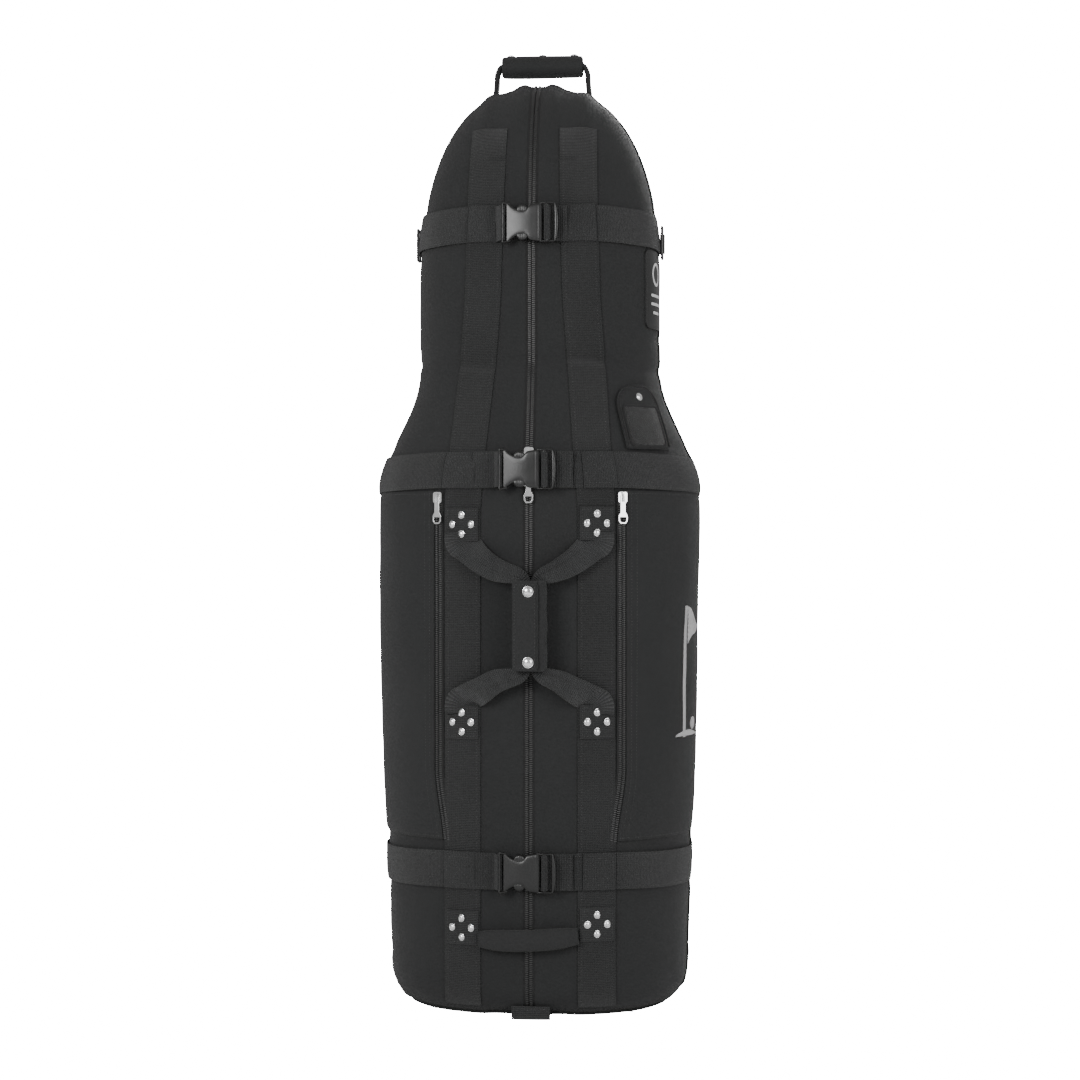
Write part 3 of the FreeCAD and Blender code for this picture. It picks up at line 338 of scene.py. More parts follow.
SIDES = (("left", -1), ("right", 1))
STRAP_HEIGHTS = {"top": 1.0885, "middle": 0.7495, "bottom": 0.205}
FOAM_LIMIT = 0.0027
FRONT_CALM = 0.135


def slack(point):
    """How far the cloth lies outside its pattern: soft waves on the sides and back, calm under the hardware,
    a crease above the shoulder, hollows beside the zipper and short gathers at the top of the dome. Inwards
    it levels off as tanh before it reaches the foam."""
    x, y, z = point[..., 0], point[..., 1], point[..., 2]
    calm = smooth((np.abs(x) - FRONT_CALM) / 0.05)
    loose = np.where(y > 0, 1.0, calm)
    wave = 0.0022 * ripple(point, 3, 0.21) + 0.0009 * ripple(point, 5, 0.075)
    hollow = -0.0022 * smooth((np.abs(x) - 0.010) / 0.02) * smooth((0.066 - np.abs(x)) / 0.02)
    hollow = np.where(y < 0, hollow, 0) * (z < 1.18) * (0.7 + 0.3 * ripple(point, 8, 0.3))
    crease = -0.0040 * bump(z, 0.899 + 0.006 * np.sin(x * 30), 0.007) * (0.75 + 0.25 * loose)
    fold = -0.0016 * bump(z, 0.918 + 0.3 * (x + 0.1) ** 2, 0.009) * loose
    for height in STRAP_HEIGHTS.values():
        crease = crease - 0.0012 * bump(np.abs(z - height), 0.033, 0.008) * loose
    gather = 0.0034 * np.sin(np.abs(x) * 125 - 0.9) * smooth((z - 1.20) / 0.07)
    gather = gather * smooth((0.10 - np.abs(x)) / 0.04)
    gather = np.where(y < 0.03, gather, 0) * smooth((np.abs(x) - 0.008) / 0.01)
    foot = 0.0016 * ripple(point * np.array([1, 1, 2.2]), 12, 0.05) * smooth((0.16 - z) / 0.12) * loose
    strap_calm = 1.0
    for height in STRAP_HEIGHTS.values():
        strap_calm = strap_calm * (1 - 0.75 * bump(z, height, 0.03))
    pull_line = np.sin((z - 0.36) * 260 + np.abs(x) * 90 + 2 * np.sin(x * 40))
    tension = 0.0007 * pull_line * bump(z, 0.355, 0.045) * smooth((0.11 - np.abs(x)) / 0.05)
    depth = wave * np.maximum(loose, 0.25) * strap_calm + hollow + crease + fold + gather + foot + tension
    return np.where(depth < 0, FOAM_LIMIT * np.tanh(depth / FOAM_LIMIT), depth)


def cloth(angle, run, offset):
    """Point on the slack cloth, offset outwards."""
    angle, run, offset = np.broadcast_arrays(angle, run, offset)
    rest = ring_point(angle, run, np.zeros_like(offset, float))
    return ring_point(angle, run, offset + slack(rest))


def link(name, vertices, faces, uvs, finish, body, smooth_angle=None):
    """Make the mesh object from whole arrays of corners, four-sided faces and face-corner UVs."""
    mesh = bpy.data.meshes.new(name)
    mesh.vertices.add(len(vertices))
    mesh.vertices.foreach_set("co", np.ascontiguousarray(vertices, np.float32).ravel())
    mesh.loops.add(faces.size)
    mesh.loops.foreach_set("vertex_index", faces.astype(np.int32).ravel())
    mesh.polygons.add(len(faces))
    mesh.polygons.foreach_set("loop_start", np.arange(0, faces.size, faces.shape[1], dtype=np.int32))
    mesh.polygons.foreach_set("use_smooth", np.ones(len(faces), bool))
    layer = mesh.uv_layers.new(name="pattern")
    layer.data.foreach_set("uv", np.ascontiguousarray(uvs, np.float32).ravel())
    mesh.update()
    mesh.validate()
    mesh.materials.append(finish)
    piece = bpy.data.objects.new(name, mesh)
    bpy.context.scene.collection.objects.link(piece)
    if smooth_angle is not None:
        mesh.set_sharp_from_angle(angle=np.radians(smooth_angle))
    if body:
        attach(piece, body)
    return piece


def quads(index, uv):
    """Faces and face-corner UVs of a grid of vertex numbers."""
    corners = (slice(None, -1), slice(None, -1)), (slice(1, None), slice(None, -1)), \
              (slice(1, None), slice(1, None)), (slice(None, -1), slice(1, None))
    faces = np.stack([index[corner] for corner in corners], -1).reshape(-1, 4)
    patches = np.stack([uv[corner] for corner in corners], -2).reshape(-1, 4, 2)
    return faces, patches


def rim(top, low, kept):
    """Faces between the two sides of a sheet along every border of its kept cells."""
    padded = np.pad(kept, 1)
    walls = []
    for start, end, here, there in (
            (np.s_[:, :-1], np.s_[:, 1:], padded[1:, 1:-1], padded[:-1, 1:-1]),
            (np.s_[1:], np.s_[:-1], padded[1:-1, 1:], padded[1:-1, :-1])):
        for chosen, first, last in ((here & ~there, start, end), (there & ~here, end, start)):
            corners = [side[chosen_end][chosen] for side, chosen_end in
                       ((top, first), (top, last), (low, last), (low, first))]
            walls.append(np.stack(corners, -1))
    return np.concatenate(walls)


def slab(name, outer, inner, uv, finish, body, sharp=40, wrap=False, keep=None):
    """Closed sheet between two grids of points, without the cells that keep leaves out.

    With wrap, the last row of the first parameter meets the first."""
    rows, columns = outer.shape[:2]
    top = np.arange(rows * columns).reshape(rows, columns)
    if wrap:
        top = np.vstack([top, top[:1]])
        uv = np.concatenate([uv, uv[-1:] + (uv[-1:] - uv[-2:-1])])
    low = top + rows * columns
    kept = np.ones((len(top) - 1, columns - 1), bool) if keep is None else keep
    faces, uvs = quads(top, uv)
    back_faces = faces[:, ::-1] + rows * columns
    walls = rim(top, low, kept)
    if wrap:
        joined = (walls % (rows * columns)) // columns
        walls = walls[~((joined == 0).all(1) & (np.ptp(walls % columns, axis=1) > 0))]
    flat_uv = np.zeros((top.max() + 1, 2))
    flat_uv[top[::-1]] = uv[::-1]
    chosen = kept.ravel()
    groups = [(faces[chosen], uvs[chosen]), (back_faces[chosen], uvs[chosen][:, ::-1]),
              (walls, flat_uv[walls % (rows * columns)])]
    vertices = np.concatenate([outer.reshape(-1, 3), inner.reshape(-1, 3)])
    return link(name, vertices, np.concatenate([face for face, _ in groups]),
                np.concatenate([patch for _, patch in groups]), finish, body, sharp)


def tube(name, rings, finish, body, sharp=None, closed=False):
    """Closed skin over rings of points; a flat fan from the ring's middle closes each end."""
    count, around = rings.shape[:2]
    index = np.arange(count * around).reshape(count, around)
    index = np.hstack([index, index[:, :1]])
    steps = np.linalg.norm(np.diff(rings.mean(1), axis=0), axis=1)
    along = np.concatenate([[0], np.cumsum(steps)])
    girth = np.linalg.norm(np.diff(rings[0], axis=0, append=rings[0][:1]), axis=1).sum()
    across = np.linspace(0, girth, around + 1)
    if closed:
        index = np.vstack([index, index[:1]])
        along = np.append(along, along[-1] + steps.mean())
    uv = np.stack(np.meshgrid(along, across, indexing="ij"), -1)
    faces, uvs = quads(index, uv)
    vertices = rings.reshape(-1, 3)
    if not closed:
        middles = np.stack([rings[0].mean(0), rings[-1].mean(0)])
        vertices = np.concatenate([vertices, middles])
        for centre, row, turn in ((count * around, index[0], 1), (count * around + 1, index[-1], -1)):
            pairs = np.stack([np.full(around, centre), row[:-1], row[1:], np.full(around, centre)], -1)
            caps = pairs[:, [0, 2, 1, 3]] if turn > 0 else pairs
            faces = np.concatenate([faces, caps])
            uvs = np.concatenate([uvs, np.zeros((around, 4, 2))])
    piece = link(name, vertices, faces, uvs, finish, None, sharp)
    close_fans(piece)
    if body:
        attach(piece, body)
    return piece


def close_fans(piece):
    """Turn fans that repeat a corner into triangles, and every face outwards."""
    work = bmesh.new()
    work.from_mesh(piece.data)
    bmesh.ops.dissolve_degenerate(work, dist=1e-7, edges=work.edges)
    bmesh.ops.recalc_face_normals(work, faces=work.faces)
    work.to_mesh(piece.data)
    work.free()


def spread(points):
    """UVs in metres along the two directions of a grid of points."""
    along = np.linalg.norm(np.diff(points, axis=0), axis=-1).mean(1)
    across = np.linalg.norm(np.diff(points, axis=1), axis=-1).mean(0)
    u = np.concatenate([[0], np.cumsum(along)])
    v = np.concatenate([[0], np.cumsum(across)])
    return np.stack(np.meshgrid(u, v, indexing="ij"), -1)


def nylon_finish(name, low, high, weave_pitch, sheen):
    """Ballistic nylon: a fine basket weave, painted lighter on its crossings and darker between as painted
    shading; threads that catch light unevenly; dusty broad mottling.
    """
    finish = Finish(name, Sheen_Weight=sheen, Sheen_Roughness=0.45, Specular_IOR_Level=0.32)
    where, (u, v, _) = finish.place("UV")
    body_where, _ = finish.place("Object")
    thread = 2 * np.pi / weave_pitch
    weave = (u * thread).sine() * (v * thread).sine()
    slub = finish.noise(where, 700.0, 2.0)
    mottle = finish.noise(body_where, 9.0, 4.0)
    # The weave sine lightens the colour where the bump is raised and darkens it where sunk: painted highlight
    # and painted shade. Slub and mottle are random tone.
    tone_and_painted_relief_shade = (0.5 + weave * 0.22 + (slub - 0.5) * 0.9 + (mottle - 0.5) * 0.8).limited()
    rough = 0.72 + (slub - 0.5) * 0.2 + (mottle - 0.5) * 0.12
    return finish.wear(colour=finish.blend(tone_and_painted_relief_shade, grey(low, 0.02), grey(high, 0.02)), roughness=rough,
                       height=weave * 0.5 + slub * 0.6, depth=0.0005)


shell_nylon = nylon_finish("shell_nylon", 0.0075, 0.0185, 0.0016, 0.05)
WALL = 0.0030
GIRTH_ANGLES = np.linspace(-np.pi / 2, 1.5 * np.pi, 2001)
girth_points = ring_point(GIRTH_ANGLES, 0.5, 0.0)
girth_runs = np.concatenate([[0], np.cumsum(np.linalg.norm(np.diff(girth_points, axis=0), axis=1))])


def girth_angle(share):
    """Section angle at a share of the way round, measured as length from the front middle to the right."""
    return np.interp(share, girth_runs / girth_runs[-1], GIRTH_ANGLES)


ZIPPER_HEM = 0.0082
profile_runs = np.linspace(PROFILE_START, PROFILE_END - 0.0005, 310)
HOUSING = (0.110, 0.150, 0.040)
HOUSING_CUT = 0.0435
HOUSING_CUT_HALF = 0.020


def wall_panel(name, node, angle_low, angle_high, columns):
    """One wall panel between two edges, each an angle for every profile length, open at the wheel housings."""
    share = np.linspace(0, 1, columns)
    low_share = np.interp(angle_low, GIRTH_ANGLES, girth_runs / girth_runs[-1])
    high_share = np.interp(angle_high, GIRTH_ANGLES, girth_runs / girth_runs[-1])
    girth = low_share[None] + share[:, None] * (high_share - low_share)[None]
    angle = girth_angle(girth)
    run = np.broadcast_to(profile_runs, angle.shape)
    outer = cloth(angle, run, 0.0)
    inner = cloth(angle, run, -WALL)
    cell = (outer[:-1, :-1] + outer[1:, 1:]) / 2
    away = np.hypot(cell[..., 1] - HOUSING[1], cell[..., 2] - HOUSING[2])
    hole = (np.abs(np.abs(cell[..., 0]) - HOUSING[0]) < HOUSING_CUT_HALF) & (away < HOUSING_CUT)
    panel = slab(name, outer, inner, spread(outer), shell_nylon, "case", keep=~hole)
    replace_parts(panel, node)
    return panel


left_hem = front_angle(np.full_like(profile_runs, -ZIPPER_HEM), profile_runs) + 2 * np.pi
right_hem = front_angle(np.full_like(profile_runs, ZIPPER_HEM), profile_runs)
side_right = np.zeros_like(profile_runs)
side_left = np.full_like(profile_runs, np.pi)
wall_panel("right_front_wall", "front_panel_right", right_hem, side_right, 110)
wall_panel("back_wall", "back_panel", side_right, side_left, 156)
wall_panel("left_front_wall", "front_panel_left", side_left, np.minimum(left_hem, 1.5 * np.pi), 110)

# ---------------------------------------------------------------- bottom, piping and seams
# The bottom is a flat nylon panel; a corded piping is sewn round its edge and up each side seam, where the
# front panels meet the back panel.


def path_through(points, count, closed=False):
    """Evenly spaced points on a Catmull-Rom curve through points: each span is a cubic whose slope at a point
    is half the chord between its neighbours."""
    points = np.asarray(points, float)
    if closed:
        spans = np.concatenate([points[-1:], points, points[:2]])
    else:
        spans = np.concatenate([2 * points[:1] - points[1:2], points, 2 * points[-1:] - points[-2:-1]])
    t = np.linspace(0, 1, 24, endpoint=False)[None, :, None]
    before, start, end, after = (spans[i:len(spans) - 3 + i, None] for i in range(4))
    curve = 0.5 * (2 * start + (end - before) * t + (2 * before - 5 * start + 4 * end - after) * t ** 2
                   + (3 * start - before - 3 * end + after) * t ** 3)
    curve = np.concatenate([curve.reshape(-1, points.shape[1]), points[:1] if closed else points[-1:]])
    length = np.concatenate([[0], np.cumsum(np.linalg.norm(np.diff(curve, axis=0), axis=1))])
    places = np.linspace(0, length[-1], count, endpoint=not closed)
    return np.stack([np.interp(places, length, column) for column in curve.T], -1)


def unit(vectors):
    """Vectors scaled to length 1."""
    return vectors / np.maximum(np.linalg.norm(vectors, axis=-1, keepdims=True), 1e-12)


def tangents(path, closed=False):
    """Directions along a path, from each point's neighbours."""
    if closed:
        return unit(np.roll(path, -1, 0) - np.roll(path, 1, 0))
    return unit(np.gradient(path, axis=0))


def beam(name, path, across, half_across, half_through, finish, body=None, power=3.0, around=20,
         closed=False, cap=0.5, sharp=50):
    """Bar along a path with the section |a|^p + |b|^p = 1; each end is rounded off over cap times its
    depth."""
    path = np.asarray(path, float)
    along = tangents(path, closed)
    across = np.broadcast_to(np.asarray(across, float), path.shape)
    across = unit(across - along * (across * along).sum(-1, keepdims=True))
    through = np.cross(along, across)
    half_across = np.broadcast_to(half_across, len(path)).astype(float)
    half_through = np.broadcast_to(half_through, len(path)).astype(float)
    if not closed:
        reach = cap * min(half_through[0], half_through[-1])
        turn = np.array([0.10, 0.45, 0.85, 1.25]) if cap else np.array([0.2])
        shrink = 1 - (1 - np.cos(turn)) * (0.9 if cap > 0.8 else 0.45)
        push = np.sin(turn) - 1.0
        first = path[0] - along[0] * reach * push[::-1, None] * -1
        last = path[-1] + along[-1] * reach * push[:, None]
        path = np.concatenate([first, path[1:-1], last])
        across = np.concatenate([across[:1].repeat(4, 0)[:len(turn)], across[1:-1],
                                 across[-1:].repeat(len(turn), 0)])
        through = np.concatenate([through[:1].repeat(len(turn), 0), through[1:-1],
                                  through[-1:].repeat(len(turn), 0)])
        half_across = np.concatenate([half_across[0] * shrink[::-1], half_across[1:-1],
                                      half_across[-1] * shrink])
        half_through = np.concatenate([half_through[0] * shrink[::-1], half_through[1:-1],
                                       half_through[-1] * shrink])
    cosine, sine = oval(np.linspace(0, 2 * np.pi, around, endpoint=False), power)
    rings = (path[:, None] + across[:, None] * (half_across[:, None] * cosine)[..., None]
             + through[:, None] * (half_through[:, None] * sine)[..., None])
    return tube(name, rings, finish, body, sharp, closed)


foot_angles = np.linspace(0, 2 * np.pi, 160, endpoint=False)
foot_ring = ring_point(foot_angles, PROFILE_START, 0.0)
foot_run = CORNER_TOP - 0.72 * CORNER_RUN
foot_seam = cloth(foot_angles, foot_run, 0.0012)
foot_out = unit(foot_seam * np.array([1, 1, 0]) - [0, 0, 0.03])
piping_nylon = nylon_finish("piping_nylon", 0.0080, 0.0170, 0.0012, 0.05)
beam("bottom_piping", foot_seam, foot_out, 0.0021, 0.0021, piping_nylon, "case", 2.0, 10, closed=True)
flat_scale = np.array([1, 1, 0])
lifted = foot_ring + [0, 0, WALL]
bottom_rings = np.stack([foot_ring * (1 - 0.5 * flat_scale), foot_ring, lifted,
                         lifted * (1 - 0.5 * flat_scale)])
tube("bottom_panel", bottom_rings, shell_nylon, "case", 40)
seam_runs = np.linspace(foot_run, PROFILE_END - 0.004, 260)
for side_name, side_at in (("right", 0.0), ("left", np.pi)):
    seam = cloth(side_at, seam_runs, 0.0010)
    beam("side_piping_" + side_name, seam, (0, 1, 0), 0.0019, 0.0019, piping_nylon, "case", 2.0, 10, cap=0.9)

# ---------------------------------------------------------------- zippers
# One long chunky coil zipper runs up the front from the toe and over the dome; two shorter ones close the
# side pockets. Each is a woven tape with a moulded coil whose teeth mesh in the middle.
TOOTH_PITCH = 0.0029
TAPE_HALF = 0.0086


def ribbed_finish(name, low, high, rib_pitch, rib_depth, sheen=0.12, cross_pitch=0.0030):
    """Woven webbing: ribs across its length and fine warp lines along it, with painted highlight on their
    crests and painted shade in their hollows."""
    finish = Finish(name, Sheen_Weight=sheen, Sheen_Roughness=0.4, Specular_IOR_Level=0.36)
    where, (u, v, _) = finish.place("UV")
    body_where, _ = finish.place("Object")
    rib = (u * (2 * np.pi / rib_pitch)).sine()
    warp = (v * (2 * np.pi / cross_pitch)).sine()
    thread = finish.noise(where, 900.0, 2.0)
    mottle = finish.noise(body_where, 14.0, 3.0)
    # Rib and warp sines lighten the colour on the crests and darken it in the hollows, as the bump does:
    # painted highlight and painted shade. Thread and mottle are random tone.
    tone_and_painted_relief_shade = (0.45 + rib * 0.26 + warp * 0.10 + (thread - 0.5) * 0.6 + (mottle - 0.5) * 0.6).limited()
    rough = 0.62 + (thread - 0.5) * 0.24
    return finish.wear(colour=finish.blend(tone_and_painted_relief_shade, grey(low, 0.02), grey(high, 0.02)), roughness=rough,
                       height=rib * 0.6 + warp * 0.15 + thread * 0.3, depth=rib_depth)


def moulded_finish(name, level, roughness, grain_scale, grain_depth, coat=0.0):
    """Moulded plastic: a fine grain, duller where handled, and a trace of dust in broad patches."""
    finish = Finish(name, Coat_Roughness=0.25, Specular_IOR_Level=0.5)
    where, _ = finish.place("Object")
    grain = finish.noise(where, grain_scale, 2.0)
    rub = finish.noise(where, 30.0, 4.0)
    return finish.wear(colour=finish.blend(rub, grey(level * 0.85), grey(level * 1.25)),
                       roughness=(roughness - 0.1) + rub * 0.2, height=grain, depth=grain_depth,
                       Coat_Weight=rub * coat if coat else None)


# The tapes get a very dark colour as painted shade. It stands for the shadow in the groove between the coil
# and the panels' raised hems, which are not modelled.
tape_nylon_painted_shade = ribbed_finish("zipper_tape_nylon", 0.0025, 0.0060, 0.0011, 0.0002, 0.03, 0.0016)
coil_nylon = moulded_finish("zipper_coil_nylon", 0.030, 0.36, 1500, 0.0001)


def teeth(name, spine, side, out):
    """Two rows of interlocked teeth along a spine: each tooth is a rounded bar across it, and the rows step
    half a pitch apart."""
    along = tangents(spine)
    steps = np.arange(len(spine))
    hand = np.where(steps % 2 == 0, 1.0, -1.0)[:, None]
    corners = []
    for reach, rise, half in ((0.0003, 0.0002, 0.00050), (0.0017, 0.0015, 0.00078), (0.0038, 0.0015, 0.00074),
                              (0.0052, 0.0001, 0.00050)):
        for step in (-1, 1):
            corners.append(spine + side * hand * reach + out * rise + along * (half * step + 0.10 * reach))
    for reach in (0.0003, 0.0052):
        corners.append(spine + side * hand * reach - out * 0.0008)
    shape = np.stack(corners, 1)
    pattern = np.array([[0, 1, 3, 2], [2, 3, 5, 4], [4, 5, 7, 6], [6, 7, 9, 9], [1, 0, 8, 8],
                        [0, 2, 8, 8], [2, 4, 9, 8], [4, 6, 9, 9], [3, 1, 8, 8], [5, 3, 8, 9], [7, 5, 9, 9]])
    faces = (np.arange(len(spine))[:, None, None] * 10 + pattern[None]).reshape(-1, 4)
    uvs = np.zeros((len(faces), 4, 2))
    piece = link(name, shape.reshape(-1, 3), faces, uvs, coil_nylon, None, 60)
    close_fans(piece)
    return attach(piece, "case")


def front_cloth(x, run, offset):
    """Point on the front cloth at x."""
    x, run = np.broadcast_arrays(np.asarray(x, float), np.asarray(run, float))
    return cloth(front_angle(x, run), run, offset)


def front_strip(name, middle, low, high, runs, inner, outer, finish):
    """Sheet on the front between two distances from a line of x, from offset inner to offset outer."""
    share = np.linspace(0, 1, 5)[:, None]
    x = middle[None] + low + (high - low) * share
    run = np.broadcast_to(runs, x.shape)
    top = front_cloth(x, run, outer)
    under = front_cloth(x, run, inner)
    return slab(name, top, under, spread(top)[..., ::-1], finish, "case")


main_runs = np.linspace(CORNER_TOP - 0.60 * CORNER_RUN, PROFILE_END - 0.03, 560)
main_middle = np.zeros_like(main_runs)
for side_name, low, high in (("left", -TAPE_HALF, -0.0024), ("right", 0.0024, TAPE_HALF)):
    tape = front_strip("main_tape_" + side_name, main_middle, low, high, main_runs, -0.0016, -0.0004,
                       tape_nylon_painted_shade)
    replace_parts(tape, "zipper_tapes")


def coil(name, middle, runs, offset):
    """Teeth along a line of x on the front."""
    spine = path_through(front_cloth(middle, runs, offset), int(np.ptp(runs) / (TOOTH_PITCH / 2)))
    beside = path_through(front_cloth(middle + 0.001, runs, offset), len(spine))
    sideways = unit(beside - spine)
    out = unit(np.cross(sideways, tangents(spine)))
    row = teeth(name, spine, sideways, out)
    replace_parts(row, "zipper_coils")


coil("main_coil", main_middle[::8], main_runs[::8], 0.0000)
# The core strip under the coil uses the same dark tape colour, which is painted shade.
core = front_strip("main_tape_core", main_middle, -0.0024, 0.0024, main_runs, -0.0024, -0.0012, tape_nylon_painted_shade)
POCKET_X = 0.125
POCKET_HIGH = 0.721
POCKET_LOW = 0.245
pocket_runs = np.linspace(POCKET_LOW, POCKET_HIGH, 240)
pocket_bend = POCKET_X - 0.012 * smooth((0.345 - pocket_runs) / 0.11)
for side_name, side in SIDES:
    line = side * pocket_bend
    for part, low, high in (("inner", -0.0075, -0.0022), ("outer", 0.0022, 0.0062)):
        low, high = sorted((side * low, side * high))
        tape = front_strip("pocket_tape_%s_%s" % (side_name, part), line, low, high, pocket_runs,
                           0.0003, 0.0013, tape_nylon_painted_shade)
    coil("pocket_coil_" + side_name, line[::6], pocket_runs[::6], 0.0012)

# ---------------------------------------------------------------- side pockets
# Each side pocket is a large nylon panel sewn over the wall from its zipper round to the back. It lies a
# little full, with a turned and topstitched hem at the zipper.
POCKET_BACK = 0.110


def back_angle(y, run, side):
    """Section angle on one side's surface at depth y."""
    depth = profile(run, 0.0)[1]
    angle = np.arcsin(np.sign(y) * np.clip(np.abs(y) / depth, 0, 1) ** (POWER / 2))
    return angle if side > 0 else np.pi - angle


def stitches(name, runs, finish, body, pitch=0.0044, length=0.0029, half=0.00042, rise=0.00035):
    """Rows of thread stitches: each is a lozenge along its seam, thickest in the middle, standing on the
    cloth."""
    centres, directions, normals = [], [], []
    for path, normal in runs:
        steps = np.linalg.norm(np.diff(path, axis=0), axis=1)
        distance = np.concatenate([[0], np.cumsum(steps)])
        places = np.arange(pitch, distance[-1] - pitch * 0.5, pitch)
        centres.append(np.stack([np.interp(places, distance, column) for column in path.T], -1))
        directions.append(np.stack([np.interp(places, distance, column) for column in tangents(path).T], -1))
        normal = np.broadcast_to(normal, path.shape)
        normals.append(np.stack([np.interp(places, distance, column) for column in normal.T], -1))
    centre, along, normal = (np.concatenate(group) for group in (centres, directions, normals))
    along, normal = unit(along), unit(normal)
    beside = np.cross(along, normal)
    shape = np.stack([centre - along * length / 2 - normal * 0.0002, centre + beside * half,
                      centre + along * length / 2 - normal * 0.0002, centre - beside * half,
                      centre + normal * rise, centre - normal * 0.0004], 1)
    pattern = np.array([[0, 1, 4], [1, 2, 4], [2, 3, 4], [3, 0, 4],
                        [1, 0, 5], [2, 1, 5], [3, 2, 5], [0, 3, 5]])
    faces = (np.arange(len(centre))[:, None, None] * 6 + pattern[None]).reshape(-1, 3)
    return link(name, shape.reshape(-1, 3), faces, np.zeros((len(faces), 3, 2)), finish, body, 180)


def rows_at(points, out, *places):
    """Rows of stitches at several places of a sheet's grid, with their outward directions."""
    return [(points[place], out[place]) for place in places]


def thread_finish(name, level):
    """Bonded thread: twisted plies, a soft shine along the twist from varying roughness, and painted shine in
    the colour, lighter on the raised plies and darker between them.
    """
    finish = Finish(name, Sheen_Weight=0.2, Specular_IOR_Level=0.45)
    where, (x, y, z) = finish.place("Object")
    twist = ((x + y + z) * 9000.0).sine()
    shade = finish.noise(where, 60.0, 2.0)
    # The twist lightens the colour on the raised plies and darkens it between them: painted shine and painted
    # shade. The noise is random tone.
    return finish.wear(colour=finish.blend((0.5 + twist * 0.2 + (shade - 0.5) * 0.8).limited(),
                                           grey(level * 0.7), grey(level * 1.3)),
                       roughness=0.5 + twist * 0.1, height=twist, depth=0.0001)


dark_thread = thread_finish("dark_thread", 0.030)


pocket_nylon = nylon_finish("pocket_nylon", 0.0080, 0.0195, 0.0016, 0.05)


def girth_share(angle):
    """Share of the way round at a section angle: the inverse of girth_angle."""
    return np.interp(angle, GIRTH_ANGLES, girth_runs / girth_runs[-1])


def pocket_edges(run, side):
    """Girth shares of a pocket's zipper hem and of its rear seam."""
    hem = front_angle(side * (np.interp(run, pocket_runs, pocket_bend) + 0.0050), run)
    hem = hem + 2 * np.pi if side < 0 else hem
    return girth_share(hem), girth_share(back_angle(np.full_like(run, POCKET_BACK), run, side))


def pocket_fill(angle, run, side):
    """How far a pocket's skin stands off the wall: least at its seams, most in the middle, and nearly flat
    under the straps."""
    hem, rear = pocket_edges(run, side)
    share = np.clip((girth_share(angle) - hem) / (rear - hem), 0, 1)
    rise = np.clip((run - POCKET_LOW) / (POCKET_HIGH - POCKET_LOW), 0, 1)
    full = 0.0034 * (4 * share * (1 - share)) ** 0.5 * (4 * rise * (1 - rise)) ** 0.35
    sag = 0.0012 * ripple(ring_point(angle, run, 0.0) * np.array([1, 1, 0.6]), 21, 0.12)
    sag = sag * smooth(share / 0.15)
    calm = 1 - 0.9 * sum(bump(run, height, 0.034) for height in STRAP_HEIGHTS.values())
    return (full + sag) * calm + 0.0010 * bump(share, 0.0, 0.03)


for side_name, side in SIDES:
    ends = np.array(pocket_edges(pocket_runs, side))
    low_share, high_share = ends.min(0), ends.max(0)
    spacing = np.linspace(0, 1, 90)[:, None]
    angle = girth_angle(low_share + (0.35 * smooth(spacing) + 0.65 * spacing) * (high_share - low_share))
    run = np.broadcast_to(pocket_runs, angle.shape)
    outer = cloth(angle, run, 0.0019 + pocket_fill(angle, run, side))
    inner = cloth(angle, run, 0.0002)
    skin = slab("side_pocket_" + side_name, outer, inner, spread(outer), pocket_nylon, "case")
    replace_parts(skin, "pocket_skin_" + side_name)
    out = unit(outer - inner)
    hem_columns = (3, 6, -3) if side > 0 else (-4, -7, 2)
    stitches("pocket_stitches_" + side_name, rows_at(outer, out, *hem_columns, np.s_[:, 2], np.s_[:, -3]),
             dark_thread, "case")

# ---------------------------------------------------------------- vertical webbings
# Two lengths of 50 mm nylon webbing run the whole height of the front, converge a little over the shoulder,
# and are sewn down along both edges; the handles' patches and the straps are sewn over them.
WEBBING_HALF = 0.025
webbing_nylon = ribbed_finish("webbing_nylon", 0.0085, 0.0270, 0.0023, 0.0009, 0.06)
webbing_runs = np.linspace(CORNER_TOP - 0.42 * CORNER_RUN, run_at(1.225), 420)
webbing_heights = profile(webbing_runs, 0.0)[2]


def averaged(values, reach):
    """Each value averaged with its neighbours up to reach places away."""
    return np.convolve(np.pad(values, reach, mode="edge"), np.ones(2 * reach + 1) / (2 * reach + 1), "valid")


webbing_line = averaged(np.interp(webbing_heights, [0.026, 0.7, 0.805, 0.98, 1.225],
                                  [0.091, 0.091, 0.082, 0.068, 0.061]), 7)
webbing_rows = []
for side_name, side in SIDES:
    share = np.linspace(-1, 1, 21)[:, None]
    x = side * webbing_line[None] + WEBBING_HALF * share
    run = np.broadcast_to(webbing_runs, x.shape)
    crown = 0.0005 * (1 - share ** 2)
    outer = front_cloth(x, run, 0.0018 + crown)
    inner = front_cloth(x, run, 0.0003)
    strip = slab("front_webbing_" + side_name, outer, inner, spread(outer)[..., ::-1], webbing_nylon, "case")
    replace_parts(strip, "vertical_webbings")
    for column in (2, 18):
        webbing_rows.append((outer[column], unit(outer[column] - inner[column])))
stitches("front_webbing_stitches", webbing_rows, dark_thread, "case")

# ---------------------------------------------------------------- compression straps
# Three straps of the same webbing go round the case over the vertical ones. They are sewn down at the sides,
# doubled and box-stitched beside each buckle, and sag slightly between.
STRAP_SAG = {"top": 0.0015, "middle": 0.006, "bottom": 0.007}
GAP_LEFT = -0.040
GAP_RIGHT = 0.0415
STRAP_UNDER = 0.0021
STRAP_OVER = 0.0037


